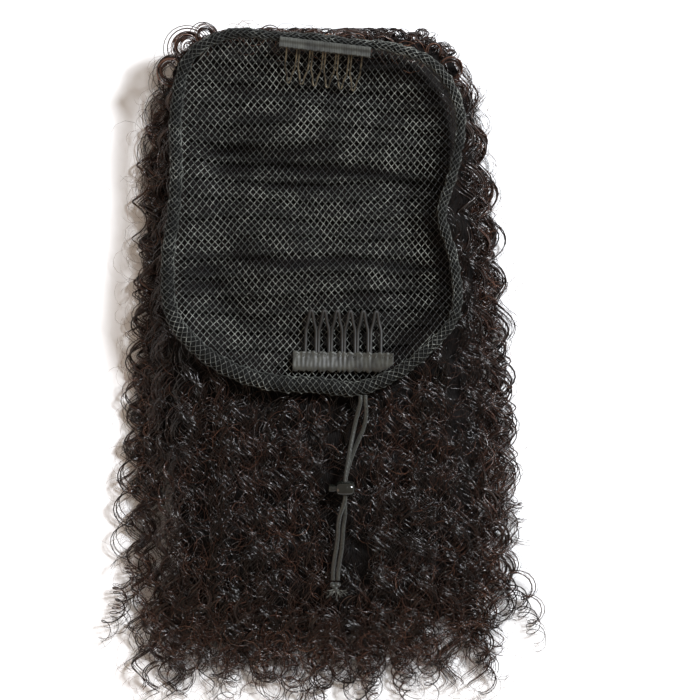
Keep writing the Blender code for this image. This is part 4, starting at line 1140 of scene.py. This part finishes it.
TAPE_LONG = 130
TAPE_ROUND = 36
TAPE_WALL = 0.0006
FOLD_HALF = 0.00135
for name, comb_x, comb_y, tilt_degrees, tooth_length, side, tape_length, behind, ahead in COMBS:
    seat = (comb_x, comb_y, math.radians(tilt_degrees), side)
    run = []
    for tooth in range(TEETH):
        middle = (tooth - (TEETH - 1) / 2) * TOOTH_PITCH
        for edge, down in TOOTH_SHAPE:
            x, y = comb_place(seat, middle + edge * TOOTH_WIDTH / 2, down * tooth_length)
            run.append((x, y, float(cap_height(x, y)) + WIRE_LIFT + WIRE_RISE * down))
    path = smooth_curve(run, COMB_STEPS)
    if name == "bottom":
        path[:, 2] -= 0.0004
    width = COMB_WIRE * (1.0 if name == "top" else RUBBER_GROWTH)
    bent_wire = tube_mesh(f"comb_wire_{name}", path, np.full((COMB_STEPS, 8), width / 2))
    wire = new_object(f"comb_wire_{name}", bent_wire, wire_finish if name == "top" else dipped_finish)
    wire.data.shade_smooth()
    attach(wire, "hairpiece")
    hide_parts(f"comb_{name}_wire")

    # The ribbon folds over the comb's head, puckered where it is sewn
    fold_line = np.linspace(-1.0, 1.0, TAPE_ROUND // 2)
    run_out = np.clip((np.abs(fold_line) - 0.18) / 0.82, 0.0, 1.0)
    bend = np.clip(fold_line / 0.18, -1.0, 1.0) * math.pi / 2
    section_reach, section_rise = [], []
    for wall in (TAPE_WALL / 2, -TAPE_WALL / 2):
        level = FOLD_HALF + wall
        order = 1 if wall > 0 else -1
        section_reach.append((-behind + FOLD_HALF - level * np.cos(bend)
                              + run_out * (ahead + behind - FOLD_HALF))[::order])
        section_rise.append((level * np.sin(bend))[::order])
    along, reach = np.meshgrid(np.linspace(-0.5, 0.5, TAPE_LONG), np.concatenate(section_reach),
                               indexing="ij")
    rise = np.broadcast_to(np.concatenate(section_rise), reach.shape)
    pitch = 0.0031 if name == "top" else 0.0036
    pucker = np.sin(along * tape_length * 2 * np.pi / pitch + 2 * np.sin(along * 17))
    ragged = (0.00010 if name == "top" else 0.00030) * (np.sin(along * 97 + 2 * np.sin(along * 31)) + pucker)
    reach = reach + ragged * np.clip(reach / ahead, -1.0, 1.0)
    if name == "bottom":
        point = np.clip((along - 0.34) / 0.16, 0.0, 1.0) ** 1.5
        reach = np.where(reach < 0, reach * (1 - 0.75 * point), reach)
    seam = np.exp(-((reach - ahead * 0.5) / 0.0010) ** 2)
    gather = np.clip((reach + behind * 0.3) / 0.003, 0.0, 1.0) if name == "bottom" else 0.3
    rise = rise * (1 - 0.22 * seam) + 0.00013 * gather * pucker
    x, y = comb_place(seat, along * tape_length, reach)
    middle_x, middle_y = comb_place(seat, along * tape_length, np.clip(reach, -behind * 0.4, ahead * 0.4))
    z = cap_height(middle_x, middle_y) + TAPE_LIFT + rise
    tape_points = np.stack((x, y, z), axis=-1)
    tape = new_object(f"tape_{name}", closed_tube(f"tape_{name}", tape_points, outward_normals=True),
                      tape_finishes[name])
    tape.data.shade_smooth()
    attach(tape, "hairpiece")
    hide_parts(f"comb_{name}_tape")

    # Stitches, short bars of thread across the tape's edge
    stitches = []
    for place in np.arange(-0.47, 0.48, STITCH_PITCH / tape_length):
        reach = ahead * 0.55 if name == "bottom" else ahead * 0.80
        start = np.array(comb_place(seat, place * tape_length, reach - 0.0007))
        end = np.array(comb_place(seat, place * tape_length + 0.0010, reach + 0.0010))
        t = np.linspace(0.0, 1.0, 7)[:, None]
        flat_path = start * (1 - t) + end * t
        height = (cap_height(flat_path[:, 0], flat_path[:, 1]) + TAPE_LIFT + 0.0015
                  + 0.0004 * np.sin(np.pi * t[:, 0]))
        stitches.append((np.column_stack((flat_path, height)), np.full(7, 0.00020), 0.5))
    sewn = strands_piece(f"stitches_{name}", stitches, 5, thread_finish)


# Cord lock
#
# A turned barrel of black moulded plastic with a sprung push button. The two
# strands pass through a slot in both, and the spring pinches them.

LOCK_PLACE = (0.01415, -0.0610, 0.0342)
LOCK_SIZE = (0.0098, 0.0080, 0.0096)
BUTTON_REACH = 0.0036
BUTTON_DEPTH = 0.0042
BUTTON_HEIGHT = 0.0066
BARREL_SQUARENESS = 4.2
BORE_END = 0.0041
BORE_PLAY = 0.0006
SLOT_HALF_WIDTH = 0.0013
SLOT_HALF_HEIGHT = 0.00275
SLOT_REACH = 0.008

# Moulded plastic: black, very glossy, with fine handling scratches
plastic_finish, plastic_shader = new_finish("glossy_moulded_plastic", Roughness=0.09, Coat_Weight=0.4,
                                            Coat_Roughness=0.05)
plastic_place = add_node(plastic_finish, "ShaderNodeTexCoord", {}, {})
plastic_noise = add_node(plastic_finish, "ShaderNodeTexNoise", {}, {
    "Vector": plastic_place.outputs["Object"], "Scale": 260.0, "Detail": 5.0, "Roughness": 0.7})
plastic_tone = ramp_node(plastic_finish, plastic_noise.outputs["Fac"], (0.35, "#0c0d0b"), (0.75, "#1c1e1a"))
link(plastic_finish, plastic_tone.outputs["Color"], plastic_shader.inputs["Base Color"])
plastic_gloss = add_node(plastic_finish, "ShaderNodeMapRange", {}, {
    "Value": plastic_noise.outputs["Fac"], "From Min": 0.3, "From Max": 0.8, "To Min": 0.07, "To Max": 0.18})
link(plastic_finish, plastic_gloss.outputs["Result"], plastic_shader.inputs["Roughness"])


def turned_along_x(name, profile, depth, height, sides=40):
    """A body turned about X from a profile of (x, share of the radius), oval in section."""
    turn = np.arange(sides) / sides * 2 * np.pi
    rings = np.array([[(x, math.cos(a) * depth / 2 * share, math.sin(a) * height / 2 * share) for a in turn]
                      for x, share in profile]) + LOCK_PLACE
    return closed_tube(name, rings, outward_normals=True)


def cut_out(piece, name, low, high):
    """Cuts a rounded slot through a piece for the strands."""
    bpy.ops.object.select_all(action="DESELECT")
    bpy.ops.mesh.primitive_cube_add(size=1.0, location=[(a + b) / 2 for a, b in zip(low, high)])
    block = bpy.context.active_object
    block.name = name
    block.scale = [b - a for a, b in zip(low, high)]
    bpy.ops.object.transform_apply(location=False, rotation=False, scale=True)
    apply_modifier(block, "BEVEL", width=0.0009, segments=3)
    apply_modifier(piece, "BOOLEAN", object=block, operation="DIFFERENCE", solver="EXACT")
    bpy.data.objects.remove(block, do_unlink=True)


half = LOCK_SIZE[0] / 2
barrel = []
for step in range(33):
    along = -1 + step / 16
    round_off = (1 - min(abs(along), 0.9985) ** BARREL_SQUARENESS) ** (1 / BARREL_SQUARENESS)
    ridge = 0.035 * math.exp(-((along - 0.1) / 0.12) ** 2)
    barrel.append((along * half, round_off * (0.955 + ridge)))
lock = new_object("lock_barrel", turned_along_x("lock_barrel", barrel, LOCK_SIZE[1], LOCK_SIZE[2]),
                  plastic_finish)
bore = new_object("bore", turned_along_x("bore", ((-half - 0.002, 1.0), (BORE_END, 1.0)),
                                         BUTTON_DEPTH + BORE_PLAY, BUTTON_HEIGHT + BORE_PLAY), plastic_finish)
apply_modifier(lock, "BOOLEAN", object=bore, operation="DIFFERENCE", solver="EXACT")
bpy.data.objects.remove(bore, do_unlink=True)
LOCK_X, LOCK_Y, LOCK_Z = LOCK_PLACE
slot_far = (LOCK_X + SLOT_HALF_WIDTH, LOCK_Y + SLOT_REACH, LOCK_Z + SLOT_HALF_HEIGHT)
cut_out(lock, "strand_slot",
        (LOCK_X - SLOT_HALF_WIDTH, LOCK_Y - SLOT_REACH, LOCK_Z - SLOT_HALF_HEIGHT), slot_far)
button_profile = [(-half - BUTTON_REACH + 0.00001, 0.35)]
for step in range(1, 12):
    turn = step / 11 * math.pi / 2
    button_profile.append((-half - BUTTON_REACH + 0.0009 * (1 - math.cos(turn)),
                           0.35 + 0.63 * math.sin(turn)))
button_profile += [(-half - 0.0012, 0.98), (-half - 0.0008, 0.93), (-half - 0.0002, 0.93), (0.0017, 0.93),
                   (0.0020, 0.85)]
button = new_object("push_button", turned_along_x("push_button", button_profile, BUTTON_DEPTH, BUTTON_HEIGHT),
                    plastic_finish)
cut_out(button, "button_slot", (LOCK_X - 0.0031, LOCK_Y - SLOT_REACH, LOCK_Z - SLOT_HALF_HEIGHT), slot_far)
for piece, node, body in ((lock, "cord_lock_body", "hairpiece"), (button, "cord_lock_button", "lock_button")):
    piece.data.shade_smooth()
    select_only(piece)
    bpy.ops.object.shade_auto_smooth(angle=math.radians(40))
    for modifier in list(piece.modifiers):
        bpy.ops.object.modifier_apply(modifier=modifier.name)
    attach(piece, body)
    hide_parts(node)


# Knot
#
# The strands end in one overhand knot, pulled tight, with the elastic's cut ends
# fraying into a tuft of fine rubber and polyester threads.

KNOT_MIDDLE = (0.00915, -0.11060, 0.02545)
KNOT_REACH = 0.00165
KNOT_CORD_RADIUS = 0.00098
turn = np.linspace(0.0, 2 * np.pi, 120)
knot_path = np.stack((
    KNOT_MIDDLE[0] + KNOT_REACH * (np.sin(turn) + 0.9 * np.sin(2 * turn)) * 0.62,
    KNOT_MIDDLE[1] + KNOT_REACH * (np.cos(turn) - 0.9 * np.cos(2 * turn)) * 0.62,
    KNOT_MIDDLE[2] - KNOT_REACH * np.sin(3 * turn) * 0.62), axis=1)
knot = new_object("tight_knot", tube_mesh("tight_knot", knot_path, np.full((120, 12), KNOT_CORD_RADIUS)), cord_finish)
knot.data.shade_smooth()
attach(knot, "hairpiece")
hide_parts("cord_knot")
frays = []
for number in range(26):
    angle = math.radians(random.uniform(195, 345))
    reach = random.uniform(0.0030, 0.0070)
    t = np.linspace(0.0, 1.0, 9)
    hook = random.normal(0, 0.9)
    heading = angle + hook * t
    step = reach / 8
    x = KNOT_MIDDLE[0] + np.cumsum(np.cos(heading)) * step
    y = KNOT_MIDDLE[1] - 0.0012 + np.cumsum(np.sin(heading)) * step * 0.8
    z = KNOT_MIDDLE[2] + random.normal(0, 0.0008) + t * random.uniform(-0.0010, 0.0020)
    frays.append((np.stack((x, y, z), axis=1), 0.00016 * (1 - 0.5 * t), 0.5))
frayed = strands_piece("frayed_ends", frays, 4, thread_finish)


# Studio
#
# A pale sheet to lie on, a soft key light from the upper right as in a room with
# one window, and a long lens that looks straight down.

# Washed cotton: matt, and almost white with faint clouds
floor_finish = grained_finish("pale_cotton_sheet", 3.0, 2.0, (0.3, "#eeeeef"), (0.7, "#f6f6f7"),
                              Roughness=0.9)
bpy.ops.object.select_all(action="DESELECT")
bpy.ops.mesh.primitive_plane_add(size=6.0, location=(0.0, 0.0, -0.0006))
floor = bpy.context.active_object
floor.name = "floor"
floor.data.materials.append(floor_finish)

VIEW_MIDDLE = (0.0165, 0.0080)
VIEW_SPAN = 0.350
CAMERA_HEIGHT = 1.25
SENSOR = 36.0


def add_light(name, place, aim, size, watts, tint):
    data = bpy.data.lights.new(name, "AREA")
    data.shape = "DISK"
    data.size = size
    data.energy = watts
    data.color = colour(tint)[:3]
    lamp = bpy.data.objects.new(name, data)
    bpy.context.scene.collection.objects.link(lamp)
    lamp.location = place
    lamp.rotation_euler = (Vector(aim) - Vector(place)).to_track_quat("-Z", "Y").to_euler()
    return lamp


add_light("key_light", (0.80, 0.62, 1.15), (0.0, 0.0, 0.0), 0.34, 41.0, "#f6faff")
add_light("warm_fill", (-1.1, -0.6, 0.8), (0.0, 0.0, 0.0), 1.2, 4.0, "#ffd9b8")
world = bpy.data.worlds.new("studio")
world.use_nodes = True
world.node_tree.nodes["Background"].inputs["Color"].default_value = colour("#fff0e0")
world.node_tree.nodes["Background"].inputs["Strength"].default_value = 0.37
bpy.context.scene.world = world
bpy.context.scene.view_settings.view_transform = "Standard"

lens = bpy.data.cameras.new("camera")
lens.sensor_width = SENSOR
lens.lens = SENSOR * CAMERA_HEIGHT / VIEW_SPAN
camera = bpy.data.objects.new("camera", lens)
bpy.context.scene.collection.objects.link(camera)
camera.location = (*VIEW_MIDDLE, CAMERA_HEIGHT + 0.03)
bpy.context.scene.camera = camera
